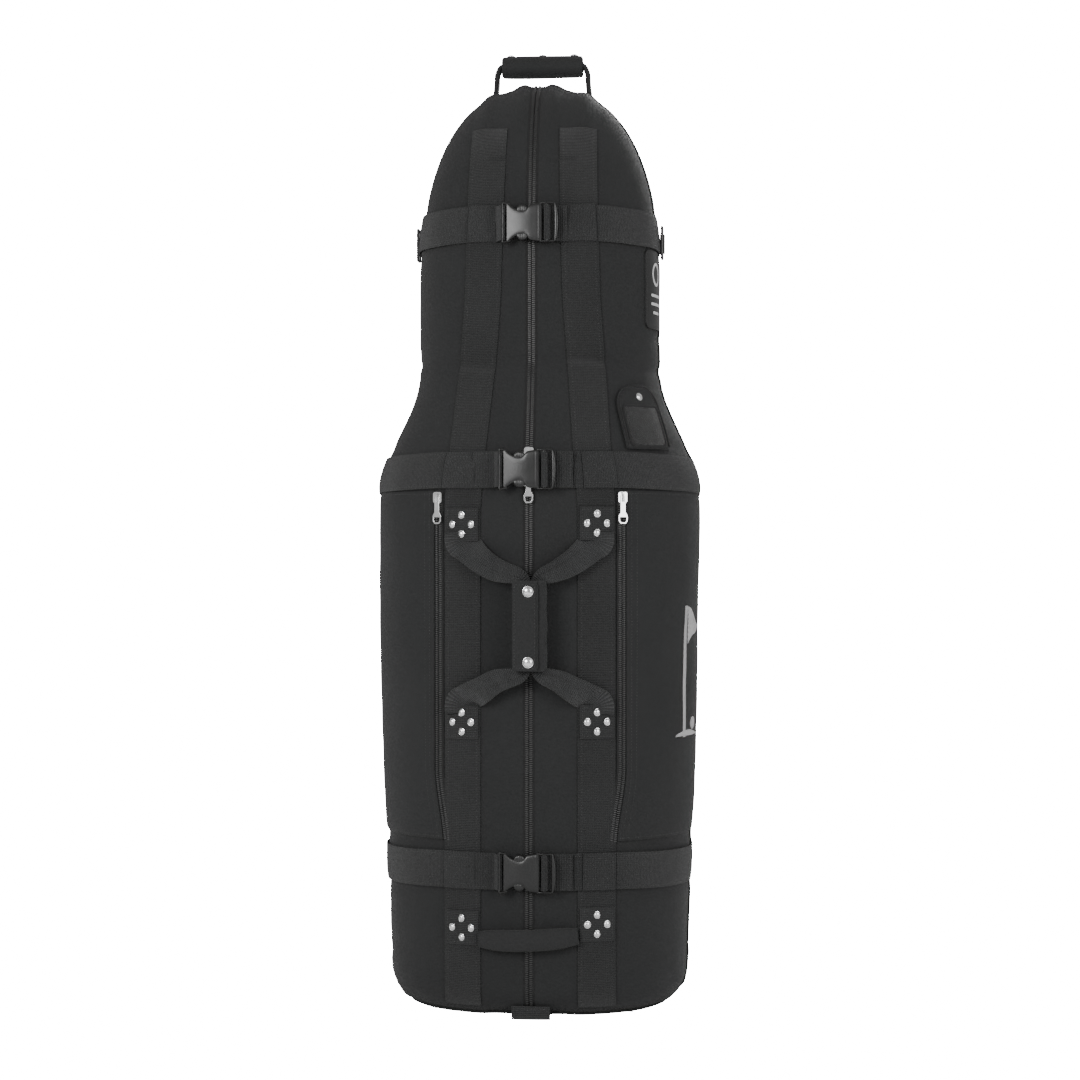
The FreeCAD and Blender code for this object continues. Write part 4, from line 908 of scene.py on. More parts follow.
def strap_grid(height, sag, angle_low, angle_high, columns, under, over):
    """Inner and outer points of a strap between two section angles, edges turned down a little."""
    share = np.linspace(0, 1, columns)
    lows = np.interp([angle_low, angle_high], GIRTH_ANGLES, girth_runs / girth_runs[-1])
    angle = girth_angle(lows[0] + share * (lows[1] - lows[0]))[:, None]
    across = np.linspace(-1, 1, 15)[None]
    drop = sag * np.exp(-(np.sin(angle) / 0.55) ** 2) + 0.0006 * np.sin(angle * 7)
    level = height - drop + WEBBING_HALF * across
    run = run_at(level)
    angle = np.broadcast_to(angle, run.shape)
    crown = 0.0006 * (1 - across ** 2)
    return cloth(angle, run, over + crown), cloth(angle, run, under)


strap_rows = []
for strap_name, height in STRAP_HEIGHTS.items():
    start = float(front_angle(GAP_RIGHT, run_at(height)))
    end = float(front_angle(GAP_LEFT, run_at(height))) + 2 * np.pi
    outer, inner = strap_grid(height, STRAP_SAG[strap_name], start, end, 420, STRAP_UNDER, STRAP_OVER)
    strap = slab(strap_name + "_strap_webbing", outer, inner, spread(outer), webbing_nylon, "case")
    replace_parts(strap, strap_name + "_strap")
    for column in (1, 13):
        strap_rows.append((outer[:, column], unit(outer[:, column] - inner[:, column])))
    near, far = (0.047, 0.086) if strap_name == "top" else (0.072, 0.114)
    for side in (-1, 1):
        turn = [float(front_angle(side * x, run_at(height))) for x in (near, far)]
        turn = sorted(a + 2 * np.pi if side < 0 else a for a in turn)
        outer, inner = strap_grid(height, STRAP_SAG[strap_name], turn[0], turn[1], 24, STRAP_OVER + 0.0004,
                                  STRAP_OVER + 0.0018)
        double = slab("%s_strap_double_%s" % (strap_name, "left" if side < 0 else "right"), outer, inner,
                      spread(outer), webbing_nylon, "case")
        out = unit(outer - inner)
        strap_rows += rows_at(outer, out, np.s_[2:-2, 2], np.s_[2:-2, 12], np.s_[2, 2:13], np.s_[-3, 2:13])
        for first, last in ((2, 12), (12, 2)):
            share = np.linspace(0, 1, 20)
            rows = (2 + share * (len(outer) - 5)).round().astype(int)
            columns = (first + share * (last - first)).round().astype(int)
            strap_rows.append([path_through(grid[rows, columns][::4], 20) for grid in (outer, out)])
stitches("strap_stitches", strap_rows, dark_thread, "case")

# ---------------------------------------------------------------- side-release buckles
# Acetal side-release buckles, 50 mm. The socket is an hourglass shell with a webbing bar at its left and
# open sides where the plug's two barbed prongs show; the plug is a ladder frame with a centre bar.
BUCKLE_OFFSET = 0.013
acetal = moulded_finish("buckle_acetal", 0.006, 0.34, 900, 0.00004, 0.12)


def millimetres(*points):
    """Points given in millimetres, in metres."""
    return np.array(points, float) / 1000


def at_buckle(height, local):
    """Local x, distance outwards and height above the strap's middle, as a place in front of the case."""
    centre_y = -float(profile(run_at(height), 0.0)[1]) - BUCKLE_OFFSET
    local = np.asarray(local, float)
    return np.stack([local[..., 0], centre_y - local[..., 1], height + local[..., 2]], -1)


def shell_tube(name, height, stations, half_tall, half_thick, power, body, finish, middle=0.0, around=48):
    """Skin through superellipse sections |z|^p + |y|^p = 1 at stations along x, as listed; the list may turn
    back on itself to make the inside of a mouth."""
    thick, tall = oval(np.linspace(0, 2 * np.pi, around, endpoint=False), power)
    stations, half_tall, half_thick, middle = (np.broadcast_to(v, np.shape(stations)).astype(float) / 1000
                                               for v in (stations, half_tall, half_thick, middle))
    local = np.stack(np.broadcast_arrays(stations[:, None], half_thick[:, None] * thick,
                                         middle[:, None] + half_tall[:, None] * tall), -1)
    return tube(name, at_buckle(height, local), finish, body, 35)


def socket(name, height):
    """Buckle socket: an hourglass shell, its hollow mouth, and the webbing bar on two horns."""
    outline_x = [-33, -31, -27, -23, -20, -15, -11, -8, -5, -3, -1, 4, 12, 15]
    outline_z = [27.0, 26.2, 22.4, 20.0, 18.6, 16.9, 16.4, 16.9, 19.4, 22.4, 24.2, 25.3, 26.4, 26.0]
    x = np.linspace(-33, 15, 49)
    tall = np.convolve(np.pad(np.interp(x, outline_x, outline_z), 1, mode="edge"), [0.25, 0.5, 0.25], "valid")
    thick = 5.9 - 4.2 * (np.clip(2 - x, 0, None) / 35) ** 2 - 0.4 * smooth((x - 12) / 3)
    lip = 0.12 * np.exp(-((x - 12.2) / 0.9) ** 2) - 0.12 * np.exp(-((x - 9.6) / 0.7) ** 2)
    head_x = np.array([-33.4, -33.3])
    mouth_x = np.array([15.4, 15.3, 14.4, 4, -3, -12])
    stations = np.concatenate([head_x, x, mouth_x])
    half_tall = np.concatenate([[24.0, 26.6], tall, [25.2, 24.4, 23.8, 21.5, 15.0, 13.0]])
    half_thick = np.concatenate([[1.5, 2.6], thick + lip, [4.8, 4.3, 4.1, 3.9, 3.7, 3.0]])
    shell = shell_tube(name + "_socket", height, stations, half_tall, half_thick, 5.5, "case", acetal)
    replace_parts(shell, name + "_buckle_female")
    horns = millimetres((-29, 0, -25.4), (-34.5, 0.5, -26.4), (-38.4, 0.8, -26.6), (-38.6, 0.4, -24.0),
                        (-38.2, 0, -19), (-38.2, 0, 0), (-38.2, 0, 19), (-38.6, 0.4, 24.0), (-38.4, 0.8, 26.6),
                        (-34.5, 0.5, 26.4), (-29, 0, 25.4))
    bar = beam(name + "_socket_bar", at_buckle(height, path_through(horns, 70)), (0, 1, 0), 0.0026, 0.0014,
               acetal, "case", 2.4, 14)


def plug(name, height):
    """Buckle plug: a rounded ladder frame whose right bar bows outwards, a centre bar and a centre
    tongue."""
    rider = name + "_male"
    tall = 26.0
    rail = np.linspace(13.0, 31.6, 22)
    bow = np.linspace(-tall + 0.8, tall - 0.8, 45)
    swell = 0.9 + 2.3 * np.clip(1 - (bow / tall) ** 2, 0, 1) ** 0.7
    back = np.linspace(tall - 1, 1 - tall, 12)
    local_x = np.concatenate([rail, 32.0 + swell, rail[::-1], np.full(12, 11.5)])
    local_z = np.concatenate([np.full(22, -tall), bow, np.full(22, tall), back])
    wide = np.concatenate([np.full(22, 1.3), swell, np.full(22, 1.3), np.full(12, 1.3)]) / 1000
    deep = np.concatenate([np.interp(rail, [13, 20, 34], [3.6, 4.4, 3.4]), 2.2 + 0.45 * swell,
                           np.interp(rail[::-1], [13, 20, 34], [3.6, 4.4, 3.4]), np.full(12, 3.4)]) / 1000
    path = np.stack([local_x, 0.8 * smooth((local_x - 26) / 10), local_z], -1) / 1000
    frame_ring = beam(name + "_plug_frame", at_buckle(height, path), (0, 1, 0), deep, wide, acetal, rider,
                      2.6, 20, closed=True)
    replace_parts(frame_ring, name + "_buckle_male")
    bar = beam(name + "_plug_bar", at_buckle(height, millimetres((22.2, 0, -26), (22.2, 0, 0), (22.2, 0, 26))),
               (0, 1, 0), 0.0026, 0.0026, acetal, rider, 3.0, 14)
    tongue_x = np.linspace(12.5, -14, 24)
    tongue = shell_tube(name + "_plug_tongue", height, tongue_x[::-1],
                        np.interp(tongue_x, [-14, -11, 9, 12.5], [2.4, 4, 4, 6])[::-1],
                        np.interp(tongue_x, [-14, -11, 12.5], [1.2, 2.0, 2.0])[::-1],
                        4.0, rider, acetal, 0.0, 20)
    for end, side in (("upper", 1), ("lower", -1)):
        x = np.linspace(-19.2, 13.0, 66)
        lens = np.sqrt(np.clip(1 - ((x + 11.4) / 8.1) ** 2, 0, 1))
        grooves = np.where((x > -17) & (x < -6), np.sin(x * 2 * np.pi / 2.2), 0)
        high = 16.4 + 8.4 * lens + 0.25 * grooves
        low = np.interp(x, [-19.2, -16, 2, 13.0], [15.2, 13.2, 12.4, 12.0])
        thick = 2.7 + 2.2 * lens - 0.20 * (1 + grooves) * lens
        arm = shell_tube("%s_plug_prong_%s" % (name, end), height, x, (high - low) / 2, thick, 3.2,
                         "%s_prong_%s" % (name, end), acetal, side * (high + low) / 2, 24)
        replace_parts(arm, "%s_prong_%s" % (name, end))


def ribbon(name, path, across, half_width, thickness, finish, body, crown=0.0, columns=15, sharp=40,
           folds=None):
    """Webbing along a path: a flat strip across each point, crowned by 1 - s^2 over its width; folds may lift
    every point of the strip by an amount of its own."""
    path = np.asarray(path, float)
    along = tangents(path)
    across = np.broadcast_to(np.asarray(across, float), path.shape)
    across = unit(across - along * (across * along).sum(-1, keepdims=True))
    out = np.cross(across, along)
    share = np.linspace(-1, 1, columns)[:, None, None]
    half = np.broadcast_to(half_width, len(path)).astype(float)[None, :, None]
    lift = np.asarray(crown, float) * (1 - share ** 2)
    if folds is not None:
        lift = lift + folds[..., None]
    middle = path[None] + across[None] * half * share + out[None] * lift
    outer = middle + out[None] * thickness / 2
    inner = middle - out[None] * thickness / 2
    strip = slab(name, outer, inner, spread(outer)[..., ::-1], finish, body, sharp)
    return strip, outer, np.broadcast_to(out[None], outer.shape)


def in_front(height, *points):
    """Path of x and distance outside the case's front, in millimetres, at a height."""
    points = path_through(millimetres(*points), 70)
    skin = front_cloth(points[:, 0], np.full(len(points), float(run_at(height))), 0.0)[:, 1]
    return np.stack([points[:, 0], skin - points[:, 1], np.full(len(points), height)], -1)


lead_rows = {"case": [], "top_male": [], "middle_male": [], "bottom_male": []}
for name, height in STRAP_HEIGHTS.items():
    socket(name, height)
    plug(name, height)
    near = 0.052 if name == "top" else 0.076
    left_path = in_front(height, (-near * 1000, 4.7), (-60 if near > 0.06 else -50, 4.9), (-47, 7.4),
                         (-43.2, 13.2), (-40.4, 16.2), (-37.6, 16.4), (-35.6, 14.2), (-35.6, 11.4),
                         (-37.4, 9.4), (-40.5, 8.6), (-45, 5.4), (-49, 4.6))
    width = np.interp(left_path[:, 0], [-0.060, -0.048, -0.043], [0.0248, 0.0246, 0.0238])
    lead, outer, out = ribbon(name + "_socket_webbing", left_path, (0, 0, -1), width, 0.0014, webbing_nylon,
                              "case")
    lead_rows["case"] += rows_at(outer, out, np.s_[1, :26], np.s_[13, :26])
    tail_x = 49 if name == "top" else 60
    right_path = in_front(height, (tail_x, 8.0), (tail_x - 7, 7.4), (43, 7.2), (38, 7.2), (32, 7.4),
                          (28.0, 8.8), (26.2, 12.2), (25.0, 15.6), (22.2, 17.0), (19.4, 15.6), (18.5, 12.6),
                          (20.4, 9.0), (26, 6.0), (36, 5.1), (44, 4.8), (52, 4.7))
    width = np.interp(right_path[:, 0], [0.030, 0.040], [0.0240, 0.0248])
    lead, outer, out = ribbon(name + "_tail_webbing", right_path, (0, 0, 1), width, 0.0015, webbing_nylon,
                              name + "_male")
    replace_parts(lead, name + "_strap_tail")
    for row in (outer[1:14, 2], outer[1:14, 4]):
        lead_rows[name + "_male"].append((row, out[1:14, 2]))
for rider, rows in lead_rows.items():
    stitches(rider + "_lead_stitches", rows, dark_thread, rider)

# ---------------------------------------------------------------- zipper sliders and pulls
# Nickel-plated die-cast sliders with a bridge, and flat stamped pulls with a window near the end.


def metal_finish(name, level, roughness, scratch=0.12, metallic=1.0):
    """Plated metal: fine scratches and slightly dull patches where it is handled."""
    finish = Finish(name, Metallic=metallic)
    where, _ = finish.place("Object")
    rub = finish.noise(where, 90.0, 5.0)
    fine = finish.noise(where, 900.0, 2.0)
    return finish.wear(colour=finish.blend(rub, grey(level * 0.85), grey(level)),
                       roughness=(roughness - scratch / 2) + rub * scratch, height=fine, depth=0.00003)


nickel = metal_finish("nickel_plate", 0.92, 0.17)


def softened(node, width, finish):
    """Copy of a hard piece with its triangles merged and its sharp edges rounded."""
    source = frame["nodes"][node]
    work = bmesh.new()
    work.from_mesh(source.data)
    bmesh.ops.remove_doubles(work, verts=work.verts, dist=1e-6)
    bmesh.ops.dissolve_limit(work, angle_limit=np.radians(1.0), verts=work.verts, edges=work.edges)
    mesh = bpy.data.meshes.new(node + "_soft")
    work.to_mesh(mesh)
    work.free()
    mesh.materials.clear()
    mesh.materials.append(finish)
    copy = bpy.data.objects.new(node + "_soft", mesh)
    bpy.context.scene.collection.objects.link(copy)
    mesh.set_sharp_from_angle(angle=np.radians(38))
    edge = copy.modifiers.new("rounded_edges", "BEVEL")
    edge.width = width
    edge.segments = 2
    edge.limit_method = "ANGLE"
    edge.angle_limit = np.radians(38)
    edge.harden_normals = True
    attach(copy, body_of(source)[0])
    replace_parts(copy, node)
    return copy


for node in ("main_lower", "main_upper", "pocket_left", "pocket_right"):
    softened(node + "_slider", 0.0005, nickel)
    softened(node + "_pull", 0.0003, nickel)

# ---------------------------------------------------------------- handle patches and rivets
# Squares of doubled webbing sewn over the vertical webbings hold the handles; each has four domed nickel
# rivets through it in a diamond.
PATCH_X = 0.091
PATCH_HALF = 0.023
PATCH_HEIGHTS = (0.130, 0.407, 0.676)
RIVET_STEP = 0.013


def dome(centre, out, radius, height):
    """Profile and rings of a domed head: flat flange, a groove, and a spherical crown."""
    out = unit(np.asarray(out, float))
    side = unit(np.cross(out, [0.13, 0.27, 0.95]))
    other = np.cross(out, side)
    angle = np.linspace(0, 2 * np.pi, 24, endpoint=False)
    circle = side * np.cos(angle)[:, None] + other * np.sin(angle)[:, None]
    crown = np.linspace(0, np.pi / 2 * 0.97, 7)
    radii = np.concatenate([[0.9, 1.0, 1.0, 0.89, 0.85], 0.84 * np.cos(crown)[1:]])
    heights = np.concatenate([[0.0, 0.03, 0.20, 0.27, 0.22], 0.25 + 0.75 * np.sin(crown)[1:]])
    return centre + circle[None] * (radii * radius)[:, None, None] + out * (heights * height)[:, None, None]


def dome_set(name, heads, finish, body):
    """Several domed heads in one piece."""
    vertices, faces = [], []
    for rings in heads:
        count, around = rings.shape[:2]
        base = sum(len(block) for block in vertices)
        index = np.hstack([np.arange(count * around).reshape(count, around)] * 2)[:, :around + 1] + base
        body_faces = np.stack([index[:-1, :-1], index[:-1, 1:], index[1:, 1:], index[1:, :-1]], -1)
        body_faces = body_faces.reshape(-1, 4)
        top, bottom = base + count * around, base + count * around + 1
        caps = [np.stack([index[-1, :-1], index[-1, 1:], np.full(around, top), np.full(around, top)], -1),
                np.stack([index[0, 1:], index[0, :-1], np.full(around, bottom), np.full(around, bottom)], -1)]
        vertices.append(np.concatenate([rings.reshape(-1, 3), [rings[-1].mean(0)], [rings[0].mean(0)]]))
        faces.append(np.concatenate([body_faces] + caps))
    faces = np.concatenate(faces)
    piece = link(name, np.concatenate(vertices), faces, np.zeros((len(faces), 4, 2)), finish, None, 50)
    close_fans(piece)
    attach(piece, body)
    return piece


patch_webbing = ribbed_finish("patch_webbing", 0.0090, 0.0280, 0.0024, 0.0008, 0.06)
patch_rows, rivet_heads = [], []
rows = np.linspace(-1, 1, 25)
for number, patch_z in enumerate(PATCH_HEIGHTS):
    for side in (-1, 1):
        level = patch_z + (0.0035 * side if number == 0 else 0.0008 * side)
        u, v = np.meshgrid(rows, rows, indexing="ij")
        x = side * PATCH_X + PATCH_HALF * u
        run = run_at(level + PATCH_HALF * v)
        corner = 0.0005 * np.clip(1.2 - np.maximum(np.abs(u), np.abs(v)) ** 6, 0, 1)
        pucker = 0.0006 * ripple(np.stack([x, x * 0, run], -1), 30 + number, 0.03)
        outer = front_cloth(x, run, 0.0036 + corner + pucker * (1 - u ** 2))
        inner = front_cloth(x, run, 0.0022)
        out = unit(outer - inner)
        name = "handle_patch_%s_%d" % ("left" if side < 0 else "right", number)
        patch = slab(name, outer, inner, spread(outer)[..., ::-1], patch_webbing, "case")
        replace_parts(patch, "handle_patches")
        for near_edge in (2, 22):
            patch_rows += rows_at(outer, out, np.s_[near_edge, 1:-1], np.s_[1:-1, near_edge])
        for step_x, step_z in ((1, 0), (-1, 0), (0, 1), (0, -1)):
            x = side * PATCH_X + step_x * RIVET_STEP
            run = float(run_at(level + step_z * RIVET_STEP))
            seat = front_cloth(x, run, 0.0040)
            rivet_heads.append(dome(seat, seat - front_cloth(x, run, 0.0), 0.0050, 0.0026))
stitches("patch_stitches", patch_rows, dark_thread, "case")
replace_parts(dome_set("rivet_domes", rivet_heads, nickel, "case"), "patch_rivets")

# ---------------------------------------------------------------- haul handle
# Two webbing arms at each end come out from under the patches, turn and bow with a crease along them, and
# meet at a padded grip wrapped in nylon; a flap with two snaps closes round the grip.
GRIP_LOW, GRIP_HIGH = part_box("haul_grip")
FLAP_LOW, FLAP_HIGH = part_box("haul_grip_flap")
grip_nylon = nylon_finish("grip_nylon", 0.0085, 0.0220, 0.0014, 0.07)
arm_webbing = ribbed_finish("arm_webbing", 0.0100, 0.0320, 0.0026, 0.0010, 0.08)
grip_x = (GRIP_LOW[0] + GRIP_HIGH[0]) / 2
grip_y = (GRIP_LOW[1] + GRIP_HIGH[1]) / 2
grip_half = ((GRIP_HIGH[0] - GRIP_LOW[0]) / 2, (GRIP_HIGH[1] - GRIP_LOW[1]) / 2)
for end, patch_z, grip_z in ((1, PATCH_HEIGHTS[2], GRIP_HIGH[2]), (-1, PATCH_HEIGHTS[1], GRIP_LOW[2])):
    for side in (-1, 1):
        root = front_cloth(side * PATCH_X, float(run_at(patch_z - end * 0.0235)), 0.0032)
        points = np.array([root + [0, 0.0004, end * 0.012], root, root + [-side * 0.009, -0.003, -end * 0.009],
                           [side * 0.064, -0.1850, grip_z + end * 0.026],
                           [side * 0.042, -0.1910, grip_z + end * 0.013],
                           [grip_x + side * 0.0165, grip_y + 0.001, grip_z + end * 0.0045],
                           [grip_x + side * 0.0060, grip_y, grip_z - end * 0.006]])
        path = path_through(points, 90)
        t = np.linspace(0, 1, 90)
        turn = smooth((t - 0.04) / 0.45)[:, None]
        flat = np.array([side, 0, 0]) * (1 - turn) + np.array([0.54 * side, 0.10, -end * 0.84]) * turn
        half = np.interp(t, [0, 0.12, 0.30, 0.62, 0.86, 1], [0.0228, 0.0228, 0.0196, 0.0160, 0.0115, 0.0080])
        share = np.linspace(-1, 1, 21)[:, None]
        roll = smooth((t - 0.15) / 0.4)[None]
        crease = np.exp(-((share + 0.25) / 0.10) ** 2)
        folds = roll * (0.0032 * (1 - share ** 2) + 0.0012 * crease)
        folds = folds + 0.0004 * np.sin(t * 34 + share * 2.2) * roll * (1 - share ** 2)
        name = "haul_arm_%s_%s" % ("upper" if end > 0 else "lower", "left" if side < 0 else "right")
        arm, _, _ = ribbon(name, path, flat * side * end, half, 0.0026, arm_webbing, None, 0.0, 21,
                           folds=folds)
        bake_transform(arm, "case", "haul_grip", tuple(root), tuple(path[-8]))
        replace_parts(arm, "haul_handle_arms")

z = np.linspace(GRIP_LOW[2] + 0.001, GRIP_HIGH[2] - 0.001, 80)
t = np.linspace(-1, 1, 80)
end_round = (1 - np.abs(t) ** 14) ** (1 / 4) * 0.25 + 0.75
wide = (grip_half[0] - 0.0022) * end_round * (1 + 0.03 * np.cos(t * 9) * (1 - t ** 2))
deep = (grip_half[1] - 0.0008) * end_round * (0.94 + 0.06 * (1 - t ** 2))
angle = np.linspace(0, 2 * np.pi, 72, endpoint=False)
flute = 1 + 0.012 * np.sin(angle[None] * 3 + z[:, None] * 40) * (1 - t[:, None] ** 6)
rings = np.stack(np.broadcast_arrays(
    grip_x + 0.0012 + wide[:, None] * oval(angle, 3.6)[0] * flute,
    grip_y + deep[:, None] * oval(angle, 3.2)[1] * flute, z[:, None]), -1)
grip = tube("haul_grip_pad", rings, grip_nylon, "haul_grip", 50)
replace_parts(grip, "haul_grip")
flap_z = np.linspace(FLAP_LOW[2] + 0.001, FLAP_HIGH[2] - 0.001, 60)
share = np.linspace(0, 1, 24)[:, None]
flap_x = FLAP_LOW[0] + 0.001 + (FLAP_HIGH[0] - FLAP_LOW[0] - 0.001) * share
bow = 0.0011 * (1 - (2 * share - 1) ** 2) + 0.0006 * np.sin(flap_z[None] * 75 + share * 3)
front = np.stack(np.broadcast_arrays(flap_x, FLAP_LOW[1] + 0.0010 - bow, flap_z[None]), -1)
under = front + [0, 0.0014, 0]
flap = slab("haul_flap_skin", front, under, spread(front)[..., ::-1], grip_nylon, "haul_flap")
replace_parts(flap, "haul_grip_flap")
beam("haul_flap_binding", front[-1, 2:-2] + [0.0006, 0.0006, 0], (1, 0, 0), 0.0016, 0.0014, piping_nylon,
     "haul_flap", 2.4, 12)
forwards = np.broadcast_to([0, -1.0, 0], front.shape)
flap_rows = rows_at(front, forwards, np.s_[-3, 1:-1], np.s_[2, 1:-1], np.s_[1:-2, 2], np.s_[1:-2, -3])
stitches("haul_flap_stitches", flap_rows, dark_thread, "haul_flap")
caps = [dome(np.array([0.0025, FLAP_LOW[1] - 0.0002, cap_z]), (0, -1, 0), 0.0074, 0.0034)
        for cap_z in (0.490, 0.585)]
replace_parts(dome_set("haul_snap_caps", caps, nickel, "haul_flap"), "haul_grip_snaps")

# ---------------------------------------------------------------- grab handle at the base
# A short padded webbing handle between the two lowest patches; its ends are sewn under them and bend as it
# is lifted.
GRAB_LOW, GRAB_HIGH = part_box("grab_handle")
grab_z = (GRAB_LOW[2] + GRAB_HIGH[2]) / 2
t = np.linspace(-1, 1, 121)
grab_x = 0.0675 * t
sag = -0.0022 * (1 - t ** 2)
lift = averaged(np.interp(np.abs(t), [0, 0.3, 0.62, 0.82, 1.0], [0.0155, 0.0145, 0.0110, 0.0060, 0.0036]), 6)
tall = averaged(np.interp(np.abs(t), [0, 0.45, 0.72, 0.9, 1.0], [0.0148, 0.0147, 0.0138, 0.0122, 0.0108]), 4)
grab_path = np.stack([grab_x, -LOWER_DEPTH - lift, grab_z + sag + 0.0030 * t], -1)
for side_name, rows, end in (("left", slice(0, 61), 0), ("right", slice(60, 121), -1)):
    piece = beam("grab_handle_" + side_name, grab_path[rows], (0, 0, 1), tall[rows], 0.0026, grip_nylon, None,
                 3.0, 36, cap=0.15)
    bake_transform(piece, "case", "grab_handle", tuple(grab_path[end]), tuple(grab_path[end] * [0.62, 1, 1]))
    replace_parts(piece, "grab_handle")

# ---------------------------------------------------------------- carry handle on the dome
# A webbing handle sewn to the dome at both ends with a padded wrap round its middle, closed by three snaps.
CARRY_LOW, CARRY_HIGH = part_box("carry_handle_grip")
CARRY_Y = (CARRY_LOW[1] + CARRY_HIGH[1]) / 2
CARRY_Z = (CARRY_LOW[2] + CARRY_HIGH[2]) / 2


def dome_top(x, y, offset):
    """Height of the dome's surface above a point: the superellipse of the section, then of the profile."""
    share = (np.abs(x) / UPPER_WIDTH) ** POWER + (np.abs(y) / UPPER_DEPTH) ** POWER
    return DOME_BASE + DOME_HEIGHT * np.clip(1 - share, 0, 1) ** (1 / POWER) + offset


for side_name, side in SIDES:
    foot_x = np.array([0.098, 0.088, 0.079, 0.0715])
    foot_z = dome_top(foot_x, CARRY_Y, np.array([0.002, 0.002, 0.003, 0.006]))
    foot = np.stack([side * foot_x, np.full(4, CARRY_Y), foot_z], -1)
    rise = np.array([[side * reach, CARRY_Y, rise_z] for reach, rise_z in (
        (0.0680, 1.3035), (0.0665, 1.3180), (0.0655, 1.3320), (0.0600, 1.3420), (0.0500, 1.3450))])
    path = path_through(np.concatenate([foot, rise]), 80)
    half = np.interp(np.arange(80), [0, 24, 44, 80], [0.0150, 0.0130, 0.0110, 0.0105])
    leg = beam("carry_leg_" + side_name, path, (0, -side, 0), half, 0.0040, arm_webbing, None, 2.6, 32)
    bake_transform(leg, "case", "carry_handle", tuple(foot[2]), tuple(rise[1]))
    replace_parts(leg, "carry_handle_webbing")
x = np.linspace(CARRY_LOW[0] + 0.0005, CARRY_HIGH[0] - 0.0005, 90)
t = np.linspace(-1, 1, 90)
end_round = (1 - np.abs(t) ** 16) ** 0.25 * 0.2 + 0.8
half_y = (CARRY_HIGH[1] - CARRY_LOW[1]) / 2 * end_round * (0.95 + 0.05 * (1 - t ** 2))
half_z = (CARRY_HIGH[2] - CARRY_LOW[2]) / 2 * end_round * (0.95 + 0.05 * (1 - t ** 2))
angle = np.linspace(0, 2 * np.pi, 72, endpoint=False)
flute = 1 + 0.010 * np.sin(angle[None] * 2 + x[:, None] * 55) * (1 - t[:, None] ** 6)
seam_groove = 1 - 0.035 * np.exp(-((angle[None] - 1.15) / 0.07) ** 2)
cosine, sine = oval(angle, 3.0)
surface = flute * seam_groove
rings = np.stack(np.broadcast_arrays(x[:, None], CARRY_Y + half_y[:, None] * cosine * surface,
                                     CARRY_Z + half_z[:, None] * sine * surface), -1)
wrap = tube("carry_grip_pad", rings, grip_nylon, "carry_handle", 50)
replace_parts(wrap, "carry_handle_grip")
caps = [dome(np.array([cap_x, CARRY_Y, CARRY_HIGH[2] - 0.0002]), (0, 0, 1), 0.0062, 0.0028)
        for cap_x in (-0.046, 0.0, 0.046)]
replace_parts(dome_set("carry_snap_caps", caps, nickel, "carry_handle"), "carry_handle_snaps")

# ---------------------------------------------------------------- side rings
# Black painted wire rings for a shoulder strap, each held at its rear bar by a webbing loop sewn on the
# strap.
LOOP_HEIGHT = 1.078
ring_enamel = metal_finish("ring_enamel", 0.05, 0.38, 0.2, 0.0)
for side_name, side in SIDES:
    low, high = (np.array(corner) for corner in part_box("side_ring_" + side_name))
    x = (low[0] + high[0]) / 2
    y0, y1, z0, z1 = low[1] + 0.002, high[1] - 0.002, low[2] + 0.002, high[2] - 0.002
    bend = 0.0035
    corners = []
    for centre_y, centre_z, start in ((y1 - bend, z1 - bend, 0), (y0 + bend, z1 - bend, 90),
                                      (y0 + bend, z0 + bend, 180), (y1 - bend, z0 + bend, 270)):
        turn = np.radians(start + np.array([0, 30, 60, 90]))
        corners.append(np.stack([np.full(4, x), centre_y + bend * np.cos(turn),
                                 centre_z + bend * np.sin(turn)], -1))
    path = path_through(np.concatenate(corners), 96, closed=True)
    ring = beam("side_ring_wire_" + side_name, path, (1, 0, 0), 0.002, 0.002, ring_enamel,
                "side_ring_" + side_name, 2.0, 14, closed=True)
    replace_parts(ring, "side_ring_" + side_name)
    loop = path_through([(x + side * out_x, y1 + back, LOOP_HEIGHT) for out_x, back in (
        (-0.0030, 0.0145), (-0.0028, 0.006), (-0.0030, 0.000), (-0.0016, -0.0030), (0.0016, -0.0030),
        (0.0032, 0.0), (0.0022, 0.006), (-0.0012, 0.0140))], 60)
    band, _, _ = ribbon("side_ring_loop_" + side_name, loop, (0, 0, -side), 0.0135, 0.0013, webbing_nylon,
                        "case")

# ---------------------------------------------------------------- badge
# A moulded rubber badge sewn high on the right side, with a plain raised ring and bars in pale grey.
badge_rubber = moulded_finish("badge_rubber", 0.009, 0.5, 400, 0.0001)


